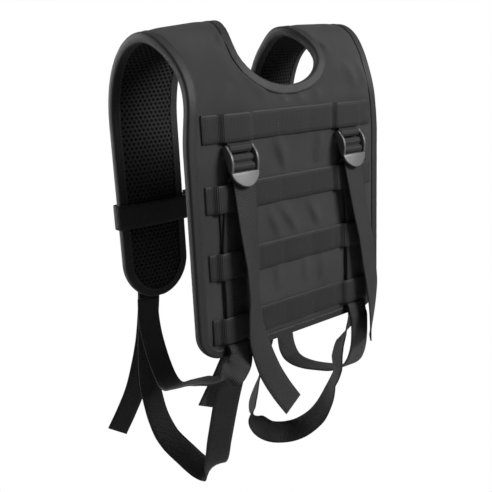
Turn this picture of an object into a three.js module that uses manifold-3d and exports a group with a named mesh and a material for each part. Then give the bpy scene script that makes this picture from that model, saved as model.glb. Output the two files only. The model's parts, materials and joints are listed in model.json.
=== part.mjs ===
// A padded webbing yoke worn like a vest: a back panel with rows of webbing, two shoulder straps that
// come down in front as pads, ladder-lock buckles, hanging adjuster straps and a sternum strap.
// Millimetres, +Z up. The wearer faces +Y and X runs across. The origin is on the middle plane, where
// the undersides of the shoulder straps rest on top of the shoulders.
import * as THREE from 'three';
import { mergeVertices } from 'three/addons/utils/BufferGeometryUtils.js';
import Module from 'manifold-3d';

const wasm = await Module();
wasm.setup();

// ---- Driving dimensions ----
const GAP = 0.3; // between pieces that touch

const WEBBING_WIDTH = 25;
const WEBBING_THICK = 1.6;

const FABRIC_THICK = 1.2;
const FOAM_THICK = 6.8;
const MESH_THICK = 2.6; // spacer mesh
const BINDING_THICK = 1.0;
const BINDING_WIDTH = 9;

const PANEL_HALF_WIDTH = 120;
const PANEL_CORNER = 26;
const BACK_DEPTH = 56; // the shoulders' ridge back to the middle of the panel
const BEND_DROP = 72; // the ridge down to where the panel bends
const WAIST_HALF_WIDTH = 115; // the armholes' narrowest place
const WAIST_ABOVE_NECK = 7; // along the cloth
const WAIST_TAPER = 60; // length over which the panel narrows to it
const STRAP_OUTER = 124; // a shoulder strap's outer edge
const STRAP_INNER = 50;
const SHOULDER_SLOPE = 0.12; // how much the ridge falls away sideways

const FRONT_DEPTH = 66; // the ridge forward to the middle of the front pads
const FRONT_DROP = 86; // the ridge down to where the pads hang straight
// How far the shoulder's curve keeps its direction at each end, as shares of its depth and drop
const ARCH = { backRise: 0.45, backReach: 0.55, frontReach: 0.55, frontFall: 0.4 };
const PAD_LENGTH = 181; // from there to the pad's rounded end
const PAD_END_RISE = 40; // height of the rounded end

const NECK_BOTTOM = 19; // above the panel's bend, along the cloth
const NECK_DEPTH = 33;
const NECK_EASE = 0.5; // extra inset of the cloth's cut edge at the neck's lowest place

const ROW_COUNT = 4;
const ROW_GAP = 37; // between two rows
const ROW_ABOVE_FOOT = 15; // the lowest row's lower edge above the panel's foot
const ROW_HALF_LENGTH = 106;
const ROW_BEND = 6; // length of the slope from a sewn stretch up over the straps
const ROW_SIDE_CLEARANCE = 1.5; // between a strap's edge and that slope

const LOCK_X = 70; // back ladder locks
const LOCK_BELOW_ROW = 6; // the hinge bar below the top row's lower edge
const LOAD_X = 80; // load straps under the rows
const BACK_LOCK_TILT = THREE.MathUtils.degToRad(14);
const FRONT_LOCK_TILT = THREE.MathUtils.degToRad(8);
const LOCK_HINGE_HEIGHT = 4.3; // hinge bar above the outer fabric
const LOCK_WALL = 2.8;
const LOCK_SIDE_CLEARANCE = 0.4; // webbing to side wall
const LOCK_BAR_RADIUS = 2;
const LOCK_BAR_PITCH = [9, 7.5]; // hinge bar to middle bar, middle bar to lower bar
const LOCK_RIM = 1.4; // plastic round the hinge bar's end
const LOCK_BOW = 7; // height of the side walls' bow
const LOCK_UNDERSIDE = -1.2; // the side walls' lower corner
const LOCK_TAB = { start: 21.5, end: 35.5, tip: 13, low: 1.2, thick: 2.6, shoulder: 7, round: 1.5 };
const TURN_SLACK = 0.3; // extra room for the webbing behind the bars
const LEG_GAP = 1.2; // between a turn of webbing and the strap that carries on from it

const ANCHOR_LENGTH = 22; // sewn part of a buckle's anchor loop
const FRONT_LOCK_X = 92;
const FRONT_LOCK_ABOVE_END = 36; // hinge bar above the pad's end

const BAND_ABOVE_END = 91; // middle of the sternum band above the pad's end
const BAND_THICK = 1.6;
const BAND_CLEARANCE = 0.6; // inside a band, round the pad's binding
const SOCKET = { length: 30, width: 34, thick: 10, wall: 2.2 };
const PLUG = { body: 17, prong: 20, prongWidth: 5, barb: 2.6, guideWidth: 6, thinner: 1 };
const SOCKET_X = -28; // the socket's closed end
const BUCKLE_SLOT = 4.5; // length of a webbing slot in the sternum buckle

// ---- Materials ----
const finish = (color, roughness) => ({ color, roughness, metalness: 0 });
const FINISHES = {
  fabric: finish(0x1b1b1d, 0.85),
  foam: finish(0x2b2b2d, 0.95),
  mesh: finish(0x0c0c0d, 0.9),
  binding: finish(0x19191b, 0.8),
  webbing: finish(0x202022, 0.75),
  plastic: finish(0x4a4a4c, 0.45),
};

const group = new THREE.Group();
group.name = 'harness_vest';

function addPart(name, geometry, finishName) {
  const mesh = new THREE.Mesh(geometry, new THREE.MeshStandardMaterial(FINISHES[finishName]));
  mesh.name = name;
  group.add(mesh);
}

// ---- The cloth's surface: x across, s up the back and over to the front, n out of the outer face ----
const THICK = FABRIC_THICK + FOAM_THICK + MESH_THICK + 2 * GAP;
const HALF_THICK = THICK / 2;
const CREST_Z = HALF_THICK; // so that the undersides touch z = 0
const BEND_Z = CREST_Z - BEND_DROP;
const ROW_PITCH = WEBBING_WIDTH + ROW_GAP;
const PANEL_STRAIGHT = ROW_ABOVE_FOOT + WEBBING_WIDTH + (ROW_COUNT - 1) * ROW_PITCH; // foot to bend
const FRONT_Z = CREST_Z - FRONT_DROP;

const backLine = new THREE.LineCurve(
  new THREE.Vector2(-BACK_DEPTH, BEND_Z - PANEL_STRAIGHT),
  new THREE.Vector2(-BACK_DEPTH, BEND_Z),
);
const backArch = new THREE.CubicBezierCurve(
  new THREE.Vector2(-BACK_DEPTH, BEND_Z),
  new THREE.Vector2(-BACK_DEPTH, BEND_Z + ARCH.backRise * BEND_DROP),
  new THREE.Vector2(-ARCH.backReach * BACK_DEPTH, CREST_Z),
  new THREE.Vector2(0, CREST_Z),
);
const frontArch = new THREE.CubicBezierCurve(
  new THREE.Vector2(0, CREST_Z),
  new THREE.Vector2(ARCH.frontReach * FRONT_DEPTH, CREST_Z),
  new THREE.Vector2(FRONT_DEPTH, FRONT_Z + (1 - ARCH.frontFall) * FRONT_DROP),
  new THREE.Vector2(FRONT_DEPTH, FRONT_Z),
);
const frontLine = new THREE.LineCurve(
  new THREE.Vector2(FRONT_DEPTH, FRONT_Z),
  new THREE.Vector2(FRONT_DEPTH, FRONT_Z - PAD_LENGTH),
);
const stretches = [backLine, backArch, frontArch, frontLine];
const CREST_S = PANEL_STRAIGHT + backArch.getLength();
const FRONT_S = CREST_S + frontArch.getLength();
const END_S = FRONT_S + PAD_LENGTH;
const NECK_S = PANEL_STRAIGHT + NECK_BOTTOM;
const SEAM_S = NECK_S - BINDING_WIDTH; // where the straps join the panel
const WAIST_S = NECK_S + WAIST_ABOVE_NECK;
const TAPER_S = WAIST_S - WAIST_TAPER;

// Middle of the cloth at s, as [y, z] and the unit tangent
function middle(s) {
  let left = s;
  let curve = stretches[0];
  for (const next of stretches.slice(1)) {
    if (left <= curve.getLength()) break;
    left -= curve.getLength();
    curve = next;
  }
  const length = curve.getLength();
  const u = THREE.MathUtils.clamp(left / length, 0, 1);
  const tangent = curve.getTangentAt(u);
  const point = curve.getPointAt(u).addScaledVector(tangent, left - u * length);
  return { point, tangent };
}

function bend(x, s, n) {
  const { point, tangent } = middle(s);
  const along = THREE.MathUtils.clamp((s - PANEL_STRAIGHT) / (FRONT_S - PANEL_STRAIGHT), 0, 1);
  const strapMiddle = (STRAP_INNER + STRAP_OUTER) / 2;
  const drop = SHOULDER_SLOPE * (Math.abs(x) - strapMiddle) * Math.sin(Math.PI * along) ** 2;
  return new THREE.Vector3(x, point.x - tangent.y * n, point.y + tangent.x * n - drop);
}

// ---- Geometry helpers ----
// One closed solid from a flat section carried through stations by place(station, u, v). Faces on
// the section's two sides are split along the same diagonal, so that stacked layers stay parallel
function sweep(section, stations, place) {
  const positions = [];
  for (const station of stations) {
    for (const [u, v] of section) positions.push(...place(station, u, v).toArray());
  }
  const count = section.length;
  const index = [];
  for (let i = 0; i + 1 < stations.length; i++) {
    for (let j = 0; j < count; j++) {
      const k = (j + 1) % count;
      const a = i * count + j;
      const b = i * count + k;
      if (j < count / 2) index.push(a, b, b + count, a, b + count, a + count);
      else index.push(a, b, a + count, b, b + count, a + count);
    }
  }
  const caps = THREE.ShapeUtils.triangulateShape(section.map(([u, v]) => new THREE.Vector2(u, v)), []);
  const end = (stations.length - 1) * count;
  for (const [a, b, c] of caps) index.push(a, c, b, end + a, end + b, end + c);
  return closedGeometry(positions, index);
}

// Faces are turned round where the solid came out inside out
function closedGeometry(positions, index) {
  const corner = (i) => new THREE.Vector3().fromArray(positions, 3 * i);
  let volume = 0;
  for (let i = 0; i < index.length; i += 3) {
    volume += corner(index[i]).dot(corner(index[i + 1]).cross(corner(index[i + 2])));
  }
  if (volume < 0) {
    for (let i = 0; i < index.length; i += 3) [index[i], index[i + 1]] = [index[i + 1], index[i]];
  }
  const geometry = new THREE.BufferGeometry();
  geometry.setAttribute('position', new THREE.Float32BufferAttribute(positions, 3));
  geometry.setIndex(index);
  geometry.computeVertexNormals();
  return geometry;
}

function toSolid(geometry) {
  const bare = geometry.clone();
  bare.deleteAttribute('normal');
  bare.deleteAttribute('uv');
  const merged = mergeVertices(bare, 1e-4);
  return new wasm.Manifold(new wasm.Mesh({
    numProp: 3,
    vertProperties: new Float32Array(merged.attributes.position.array),
    triVerts: new Uint32Array(merged.index.array),
  }));
}

function fromSolid(solid) {
  const mesh = solid.getMesh();
  const geometry = new THREE.BufferGeometry();
  geometry.setAttribute('position', new THREE.BufferAttribute(mesh.vertProperties, 3));
  geometry.setIndex(new THREE.BufferAttribute(mesh.triVerts, 1));
  geometry.computeVertexNormals();
  return geometry;
}

const join = (pieces) => pieces.map(toSolid).reduce((a, b) => a.add(b));

// A box from its lowest to its highest corner
function boxBetween(low, high) {
  const size = high.map((value, i) => value - low[i]);
  const centre = high.map((value, i) => (value + low[i]) / 2);
  return new THREE.BoxGeometry(...size).translate(...centre);
}

// Moves every vertex by place(x, y, z) -> Vector3
function mapped(geometry, place) {
  const moved = geometry.index ? geometry : mergeVertices(geometry);
  const at = moved.attributes.position;
  const positions = [];
  for (let i = 0; i < at.count; i++) positions.push(...place(at.getX(i), at.getY(i), at.getZ(i)).toArray());
  return closedGeometry(positions, Array.from(moved.index.array));
}

const rectangle = (u0, v0, u1, v1) => [[u0, v0], [u1, v0], [u1, v1], [u0, v1]];
function steps(from, to, count) {
  return Array.from({ length: count + 1 }, (_, i) => from + ((to - from) * i) / count);
}

// Unit normals of a flat path of [u, v] points, to the left of travel, mitred at the corners
function pathNormals(points) {
  return points.map((point, i) => {
    const before = points[Math.max(i - 1, 0)];
    const after = points[Math.min(i + 1, points.length - 1)];
    const first = new THREE.Vector2(point[0] - before[0], point[1] - before[1]).normalize();
    const second = new THREE.Vector2(after[0] - point[0], after[1] - point[1]).normalize();
    const along = first.clone().add(second).normalize();
    const cosine = i === 0 || i === points.length - 1 ? 1 : along.dot(second);
    return [-along.y / cosine, along.x / cosine];
  });
}

// Flat webbing along a flat path of [u, v] points, from low to high across. place gets the distance
// across, u, v and the path's own point
function ribbon(path, low, high, place) {
  const normals = pathNormals(path);
  const stations = path.map((point, i) => ({ point, normal: normals[i] }));
  const section = rectangle(low, -WEBBING_THICK / 2, high, WEBBING_THICK / 2);
  return sweep(section, stations, ({ point, normal }, across, v) =>
    place(across, point[0] + normal[0] * v, point[1] + normal[1] * v, point));
}

// ---- Outline ----
// Half the width between the outer edges at s
function outerHalf(s) {
  if (s < WAIST_S) {
    const share = THREE.MathUtils.smoothstep(s, TAPER_S, WAIST_S);
    return THREE.MathUtils.lerp(PANEL_HALF_WIDTH, WAIST_HALF_WIDTH, share);
  }
  const share = THREE.MathUtils.smoothstep(s, WAIST_S, CREST_S);
  return THREE.MathUtils.lerp(WAIST_HALF_WIDTH, STRAP_OUTER, share);
}

const PAD_HALF = (STRAP_OUTER - STRAP_INNER) / 2;
const PAD_MIDDLE = (STRAP_OUTER + STRAP_INNER) / 2;
const ROUND_S = END_S - PAD_END_RISE;
const NECK_TOP_S = NECK_S + NECK_DEPTH;

// A shoulder strap's [inner, outer] edges at s, inset from its outline
function strapEdges(s, inset) {
  if (s > ROUND_S) {
    const share = Math.min((s - ROUND_S) / (PAD_END_RISE - inset), 1);
    const half = (PAD_HALF - inset) * Math.sqrt(1 - share * share);
    return [PAD_MIDDLE - half, PAD_MIDDLE + half];
  }
  const share = Math.min((NECK_TOP_S - s) / (NECK_DEPTH + inset), 1);
  const round = (STRAP_INNER + inset) * Math.sqrt(1 - share * share) + NECK_EASE * share;
  const inner = s < NECK_TOP_S ? round : STRAP_INNER + inset;
  return [Math.max(inner, GAP / 2), outerHalf(s) - inset];
}

// The panel's half width at s, inset from its outline, with its round lower corners
function panelHalf(s, inset) {
  const half = outerHalf(s);
  if (s >= PANEL_CORNER) return half - inset;
  const radius = PANEL_CORNER - inset;
  return half - PANEL_CORNER + Math.sqrt(Math.max(radius ** 2 - (PANEL_CORNER - s) ** 2, 0));
}

// ---- Sandwich layers, the wearer's side first: [name, finish, low n, high n] ----
const LAYERS = [
  ['mesh_lining', 'mesh', -HALF_THICK, -HALF_THICK + MESH_THICK],
  ['foam', 'foam', -HALF_THICK + MESH_THICK + GAP, HALF_THICK - FABRIC_THICK - GAP],
  ['outer_fabric', 'fabric', HALF_THICK - FABRIC_THICK, HALF_THICK],
];
const EDGE_INSET = BINDING_THICK + GAP; // the sandwich's cut edge inside the binding

// A layer through rows of { s, left, right }
function layer(rows, low, high) {
  return sweep(rectangle(0, 0, 1, 1), rows, ({ s, left, right }, u, v) =>
    bend(THREE.MathUtils.lerp(left, right, u), s, THREE.MathUtils.lerp(low, high, v)));
}

function panelLayers() {
  const corner = steps(0, Math.PI / 2, 6).map((a) =>
    PANEL_CORNER - (PANEL_CORNER - EDGE_INSET) * Math.cos(a));
  const heights = [...corner, PANEL_STRAIGHT / 2, ...steps(TAPER_S, SEAM_S, 6)];
  const rows = heights.map((s) => {
    const half = panelHalf(s, EDGE_INSET);
    return { s, left: -half, right: half };
  });
  for (const [name, look, low, high] of LAYERS) addPart(`back_panel_${name}`, layer(rows, low, high), look);
}

function strapLayers(side, word) {
  const neck = steps(0, Math.PI / 2, 12).map((a) =>
    NECK_TOP_S - (NECK_DEPTH + BINDING_WIDTH) * Math.cos(a));
  const end = steps(0, 1.5, 7).map((a) => ROUND_S + (PAD_END_RISE - EDGE_INSET) * Math.sin(a));
  const heights = [SEAM_S + GAP, ...neck.slice(1), ...steps(NECK_TOP_S + 8, FRONT_S, 16), ...end];
  const rows = heights.map((s) => {
    const [inner, outer] = strapEdges(s, EDGE_INSET);
    return { s, left: side * inner, right: side * outer };
  });
  for (const [name, look, low, high] of LAYERS) {
    addPart(`${word}_strap_${name}`, layer(rows, low, high), look);
  }
}

// ---- Edge binding: a channel that holds the sandwich's cut edge ----
const BINDING_HALF = HALF_THICK + GAP + BINDING_THICK;
const CHANNEL = [
  [0, -BINDING_HALF],
  [BINDING_WIDTH, -BINDING_HALF],
  [BINDING_WIDTH, -BINDING_HALF + BINDING_THICK],
  [BINDING_THICK, -BINDING_HALF + BINDING_THICK],
  [BINDING_THICK, BINDING_HALF - BINDING_THICK],
  [BINDING_WIDTH, BINDING_HALF - BINDING_THICK],
  [BINDING_WIDTH, BINDING_HALF],
  [0, BINDING_HALF],
];

// outline is [x, s] points with the cloth on the left of travel; its ends are cut square to s
function binding(outline) {
  const normals = pathNormals(outline);
  const stations = outline.map((point, i) => {
    const atEnd = i === 0 || i === outline.length - 1;
    return { point, normal: atEnd ? [Math.sign(normals[i][0]), 0] : normals[i] };
  });
  return sweep(CHANNEL, stations, ({ point, normal }, inward, n) =>
    bend(point[0] + normal[0] * inward, point[1] + normal[1] * inward, n));
}

function panelBinding() {
  const side = [...steps(TAPER_S, SEAM_S - GAP, 6).reverse(), PANEL_STRAIGHT / 2];
  const corner = steps(0, Math.PI / 2, 6).map((a) => [
    outerHalf(0) - PANEL_CORNER * (1 - Math.cos(a)),
    PANEL_CORNER * (1 - Math.sin(a)),
  ]);
  const left = [...side.map((s) => [outerHalf(s), s]), ...corner].map(([x, s]) => [-x, s]);
  const right = left.map(([x, s]) => [-x, s]).reverse();
  addPart('back_panel_edge_binding', binding([...left, ...right]), 'binding');
}

function strapBinding(side, word) {
  const up = steps(SEAM_S, FRONT_S, 22).map((s) => [outerHalf(s), s]);
  const end = steps(0, Math.PI, 16).map((a) => [
    PAD_MIDDLE + PAD_HALF * Math.cos(a),
    ROUND_S + PAD_END_RISE * Math.sin(a),
  ]);
  const back = steps(FRONT_S, NECK_TOP_S + GAP, 18).map((s) => [STRAP_INNER, s]);
  const outline = [...up, ...end, ...back].map(([x, s]) => [side * x, s]);
  addPart(`${word}_strap_edge_binding`, binding(side > 0 ? outline : outline.reverse()), 'binding');
}

function neckBinding() {
  const outline = steps(-Math.PI / 2, Math.PI / 2, 20).map((a) => [
    -STRAP_INNER * Math.sin(a),
    NECK_TOP_S - NECK_DEPTH * Math.cos(a),
  ]);
  addPart('neck_edge_binding', binding(outline), 'binding');
}

// ---- Webbing rows sewn to the panel, standing clear over the straps beneath them ----
const OUTER_FACE = HALF_THICK;
const SEWN_N = OUTER_FACE + GAP + WEBBING_THICK / 2;
const LAYER_PITCH = WEBBING_THICK + GAP;
const UNDER_ROW = [SEWN_N, SEWN_N + LAYER_PITCH]; // the two straps between a row and the panel
const RAISED_N = SEWN_N + 2 * LAYER_PITCH;
const rowTop = (row) => PANEL_STRAIGHT - row * ROW_PITCH;
const rowFoot = (row) => rowTop(row) - WEBBING_WIDTH;

function webbingRow(row) {
  const reach = WEBBING_WIDTH / 2 + ROW_SIDE_CLEARANCE;
  const near = (row < 2 ? LOCK_X : LOAD_X) - reach;
  const far = (row < 1 ? LOCK_X : LOAD_X) + reach;
  const rise = [
    [near - ROW_BEND, SEWN_N],
    [near, RAISED_N],
    [far, RAISED_N],
    [far + ROW_BEND, SEWN_N],
    [ROW_HALF_LENGTH, SEWN_N],
  ];
  const path = [...rise.map(([x, n]) => [-x, n]).reverse(), ...rise];
  const solid = ribbon(path, rowFoot(row), rowTop(row), (s, x, n) => bend(x, s, n));
  addPart(`webbing_row_${row + 1}`, solid, 'webbing');
}

// ---- Ladder locks. In a lock's own frame x is across, t runs down from the hinge bar, h is out ----
const HINGE_N = OUTER_FACE + LOCK_HINGE_HEIGHT;
const MIDDLE_BAR = LOCK_BAR_PITCH[0];
const LOWER_BAR = MIDDLE_BAR + LOCK_BAR_PITCH[1];
const LOCK_INNER = WEBBING_WIDTH / 2 + LOCK_SIDE_CLEARANCE;
const WRAP_RADIUS = LOCK_BAR_RADIUS + GAP + WEBBING_THICK / 2;
const LEG_END = LOCK_TAB.start + 1; // where the turn of webbing meets its straps

// A hinge's place: x, s, whether down is towards smaller s (the back) or larger s (the front), and
// how far its lock leans out
function backHinge(side) {
  return { x: side * LOCK_X, s: rowFoot(0) - LOCK_BELOW_ROW, down: -1, tilt: BACK_LOCK_TILT };
}

function frontHinge(side) {
  return { x: side * FRONT_LOCK_X, s: END_S - FRONT_LOCK_ABOVE_END, down: 1, tilt: FRONT_LOCK_TILT };
}

// A place on a lock, t down from its hinge bar and h out, as [s, n]
function lockPoint(hinge, t, h) {
  const cosine = Math.cos(hinge.tilt);
  const sine = Math.sin(hinge.tilt);
  return [hinge.s + hinge.down * (t * cosine - h * sine), HINGE_N + h * cosine + t * sine];
}

const fromLock = (hinge) => (x, t, h) => bend(hinge.x + x, ...lockPoint(hinge, t, h));

function lockWall(x) {
  const side = new THREE.Shape();
  const round = LOCK_BAR_RADIUS + LOCK_RIM;
  const tabTop = LOCK_TAB.low + LOCK_TAB.thick;
  side.absarc(0, 0, round, -Math.PI / 2, -1.5 * Math.PI, true);
  side.quadraticCurveTo(MIDDLE_BAR, 2 * LOCK_BOW - round, LOCK_TAB.start, tabTop);
  side.lineTo(LOCK_TAB.start + 2, LOCK_TAB.low);
  side.lineTo(LOCK_TAB.start - 3, LOCK_UNDERSIDE);
  const wall = new THREE.ExtrudeGeometry(side, { depth: LOCK_WALL, bevelEnabled: false, curveSegments: 8 });
  return mapped(wall, (t, h, depth) => new THREE.Vector3(x + depth, t, h));
}

function lockBar(t) {
  return new THREE.CylinderGeometry(LOCK_BAR_RADIUS, LOCK_BAR_RADIUS, 2 * LOCK_INNER + LOCK_WALL, 12)
    .rotateZ(Math.PI / 2)
    .translate(0, t, 0);
}

function lockTab() {
  const half = LOCK_INNER + LOCK_WALL;
  const tip = LOCK_TAB.tip / 2;
  const shoulder = LOCK_TAB.start + LOCK_TAB.shoulder;
  const tab = new THREE.Shape();
  tab.moveTo(-half, LOCK_TAB.start);
  tab.lineTo(half, LOCK_TAB.start);
  tab.quadraticCurveTo(half, shoulder, tip, LOCK_TAB.end - LOCK_TAB.round);
  tab.quadraticCurveTo(0, LOCK_TAB.end + LOCK_TAB.round, -tip, LOCK_TAB.end - LOCK_TAB.round);
  tab.quadraticCurveTo(-half, shoulder, -half, LOCK_TAB.start);
  return new THREE.ExtrudeGeometry(tab, { depth: LOCK_TAB.thick, bevelEnabled: false, curveSegments: 5 })
    .translate(0, 0, LOCK_TAB.low);
}

function lockBody() {
  const walls = [lockWall(-LOCK_INNER - LOCK_WALL), lockWall(LOCK_INNER)];
  return fromSolid(join([...walls, lockTab(), ...[0, MIDDLE_BAR, LOWER_BAR].map(lockBar)]));
}

// The turn of webbing gripped in a lock: up behind both bars, over them and down before the tab
function lockTurn() {
  const behind = -WRAP_RADIUS - TURN_SLACK;
  const over = steps(-Math.PI / 2, -1.5 * Math.PI, 6).map((a) => [
    MIDDLE_BAR + WRAP_RADIUS * Math.cos(a),
    WRAP_RADIUS * Math.sin(a),
  ]);
  const lower = steps(Math.PI / 2, 0, 3).map((a) => [
    LOWER_BAR + WRAP_RADIUS * Math.cos(a),
    WRAP_RADIUS * Math.sin(a),
  ]);
  return [[LEG_END, behind], ...over, ...lower, [LEG_END, LOCK_UNDERSIDE]];
}

// The anchor loop: sewn layers that pinch together, then open round the hinge bar
function anchorLoop(hinge, place) {
  const pinch = LOCK_BELOW_ROW - 2 * GAP;
  const [back, front] = UNDER_ROW.map((n) => n - HINGE_N);
  const round = steps(Math.PI / 6, 1.5 * Math.PI, 9).map((a) => [
    -WRAP_RADIUS * Math.cos(a),
    WRAP_RADIUS * Math.sin(a),
  ]);
  const path = [
    [-pinch - ANCHOR_LENGTH, front],
    [-pinch, front],
    ...round,
    [-pinch, back],
    [-pinch - ANCHOR_LENGTH, back],
  ];
  return ribbon(path, -WEBBING_WIDTH / 2, WEBBING_WIDTH / 2, place);
}

function ladderLock(prefix, hinge) {
  const place = fromLock(hinge);
  const level = (x, t, h) => bend(hinge.x + x, hinge.s + hinge.down * t, HINGE_N + h);
  const half = WEBBING_WIDTH / 2;
  addPart(`${prefix}_anchor_loop`, anchorLoop(hinge, level), 'webbing');
  addPart(`${prefix}_ladder_lock`, mapped(lockBody(), place), 'plastic');
  addPart(`${prefix}_strap_turn`, ribbon(lockTurn(), -half, half, place), 'webbing');
}

// ---- Straps between the rows and the panel ----
// Load strap: from the back lock down on the outer level; pass strap: up from the foot beneath it
function strapsUnderRows(side, word) {
  const half = WEBBING_WIDTH / 2;
  const foot = rowFoot(ROW_COUNT - 1) - 2;
  const strap = (path) =>
    ribbon(path, -half, half, (across, s, n, point) => bend(side * point[2] + across, s, n));
  const load = [
    [...lockPoint(backHinge(side), LEG_END + LEG_GAP, lockTurn()[0][1]), LOCK_X],
    [rowTop(1) + 0.8, UNDER_ROW[1], LOCK_X + 1],
    [rowFoot(1), UNDER_ROW[1], LOCK_X + 6],
    [rowTop(2), UNDER_ROW[1], LOAD_X],
    [foot, UNDER_ROW[1], LOAD_X],
  ];
  const pass = [[rowTop(1) - 4, UNDER_ROW[0], LOAD_X], [foot, UNDER_ROW[0], LOAD_X]];
  addPart(`${word}_load_strap`, strap(load), 'webbing');
  addPart(`${word}_pass_strap`, strap(pass), 'webbing');
}

// ---- Hanging straps. Each point: [x, y, z, turn, tilt]: the webbing's width lies along the
// horizontal direction turned from +X by turn degrees, tilted up by tilt degrees ----
const HANGING = {
  left_tail: [
    [-70, -70.4, -121, 0, 0],
    [-70, -72.7, -134, 0, 0],
    [-69.5, -75, -168, 12, 0],
    [-67.5, -75.8, -204, 26, 0],
    [-67, -76, -234, 30, 0],
    [-67.5, -76, -258, 24, 0],
    [-65, -77, -280, 8, 0],
    [-56, -79, -310, 0, 12],
    [-44, -81, -334, 2, 24],
    [-30, -83, -356, 4, 28],
  ],
  right_tail: [
    [70, -70.4, -121, 0, 0],
    [71, -72.7, -134, 2, 0],
    [78, -74, -172, 8, 0],
    [86, -74.5, -204, 10, 0],
    [91, -75, -234, 10, 0],
    [95, -75.5, -262, 16, 0],
    [95, -76, -290, 30, 0],
    [91, -77, -322, 44, 0],
  ],
  left_pad_end_strap: [
    [-100, 66, -262, 0, 0],
    [-101, 65.5, -282, 0, 0],
    [-101, 62, -304, 0, 0],
    [-100, 54, -328, 0, 0],
    [-101, 40, -345, 0, 0],
    [-103, 24, -349, 0, 2],
    [-105, 4, -340, 0, 4],
    [-108, -18, -329, 0, 4],
    [-112, -40, -318, -6, 6],
    [-113, -57, -312, -20, 6],
    [-102, -71, -308, -20, 4],
    [-88, -72, -301, -8, 0],
    [-80.5, -69, -291, 0, 0],
    [-80, -67.2, -283.6, 0, 0],
    [-80, -65.3, -280.2, 0, 0],
  ],
  left_side_strap: [
    [-80, -62.7, -280.2, 0, 0],
    [-80, -64.3, -283.4, 0, 0],
    [-80.5, -64.8, -293.6, 0, 0],
    [-84, -62.5, -304, -10, 0],
    [-86.5, -57, -322, -26, 0],
    [-88, -49, -347, -32, 0],
    [-89, -36, -391, -32, 4],
    [-90, -27, -422, -28, 20],
    [-95, -12, -434, 0, 56],
    [-106, 6, -419, 34, 60],
    [-113, 23, -405, 40, 40],
    [-113, 39, -392, 20, 22],
    [-111, 52, -377, 6, 6],
    [-108, 63, -356, 0, 0],
    [-102, 72, -326, 0, 0],
    [-96, 76, -292, 0, 0],
    [-92, 76.4, -264, 0, 0],
    [-92, 75.9, -249.4, 0, 0],
  ],
  left_front_tail: [
    [-92, 78, -249.2, 0, 0],
    [-92, 79.2, -264, 0, 0],
    [-93.5, 81, -285, 0, 0],
    [-98, 82.5, -314, 0, 0],
    [-105, 84, -343, -4, -8],
    [-115, 84.5, -370, -4, -18],
    [-128, 84.5, -392, -4, -28],
    [-142, 84.5, -412, -4, -30],
  ],
  left_foot_end: [
    [-84, -56.5, -293.6, 0, 0],
    [-84, -52, -301, 0, 0],
    [-83.5, -45, -311, 4, -4],
    [-86, -40, -322, 10, -16],
    [-94, -37, -336, 16, -30],
    [-103, -35, -350, 20, -30],
  ],
  right_pad_end_strap: [
    [88, 66, -262, 0, 0],
    [90, 67, -300, 0, 0],
    [91, 66, -340, 0, 0],
    [88, 60, -366, 0, 0],
    [84, 48, -378, 0, 0],
    [83, 34, -382, 0, 0],
    [87, 18, -383.5, 0, 0],
    [92.5, 0, -382, 0, 0],
    [97, -20, -378, 0, 0],
    [97, -38, -368, -6, 0],
    [92, -53, -352, -4, 0],
    [86, -64.5, -328, 0, 0],
    [82, -69, -300, 0, 0],
    [80.5, -68.4, -291, 0, 0],
    [80, -67.2, -283.6, 0, 0],
    [80, -65.3, -280.2, 0, 0],
  ],
  right_side_strap: [
    [80, -62.7, -280.2, 0, 0],
    [80, -64.3, -283.4, 0, 0],
    [79.5, -64.8, -293.6, 0, 0],
    [70, -62.5, -309, 30, 0],
    [61, -60, -327, 60, 0],
    [65, -51, -352, 70, 0],
    [71, -41, -376, 50, 0],
    [72, -30, -402, 70, 6],
    [67, -18, -428, 80, 20],
    [57, -2, -447, 70, 44],
    [44, 14, -456, 50, 60],
    [26, 27, -453, 44, 70],
    [17, 40, -440, 60, 40],
    [22, 50, -426, 60, 10],
    [38, 60, -408, 50, 0],
    [56, 68, -388, 30, 0],
    [72, 74, -352, 10, 0],
    [86, 76.4, -300, 0, 0],
    [92, 76.4, -264, 0, 0],
    [92, 75.9, -249.4, 0, 0],
  ],
  right_front_tail: [
    [92, 78, -249.2, 0, 0],
    [92, 79.2, -264, 0, 0],
    [94, 81, -285, 0, 0],
    [97, 82, -312, 4, 0],
    [102, 83, -344, 8, 0],
    [106, 84, -372, 8, 0],
  ],
};

function hangingStrap(points, stepCount) {
  const curve = new THREE.CatmullRomCurve3(
    points.map(([x, y, z]) => new THREE.Vector3(x, y, z)),
    false,
    'catmullrom',
    0.5,
  );
  const spans = points.length - 1;
  const stations = steps(0, 1, stepCount).map((t) => {
    const k = Math.min(Math.floor(t * spans), spans - 1);
    const [turn, tilt] = [3, 4].map((i) =>
      THREE.MathUtils.degToRad(THREE.MathUtils.lerp(points[k][i], points[k + 1][i], t * spans - k)));
    const across = new THREE.Vector3(
      Math.cos(turn) * Math.cos(tilt),
      Math.sin(turn) * Math.cos(tilt),
      Math.sin(tilt),
    );
    const along = curve.getTangent(t);
    across.addScaledVector(along, -across.dot(along)).normalize();
    return { centre: curve.getPoint(t), across, out: new THREE.Vector3().crossVectors(along, across) };
  });
  const half = WEBBING_WIDTH / 2;
  const section = rectangle(-half, -WEBBING_THICK / 2, half, WEBBING_THICK / 2);
  return sweep(section, stations, ({ centre, across, out }, u, v) =>
    centre.clone().addScaledVector(across, u).addScaledVector(out, v));
}

// ---- Sternum strap: keeper bands round both pads, webbing, and a side-release buckle ----
const BAND_S = END_S - BAND_ABOVE_END;

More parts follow.
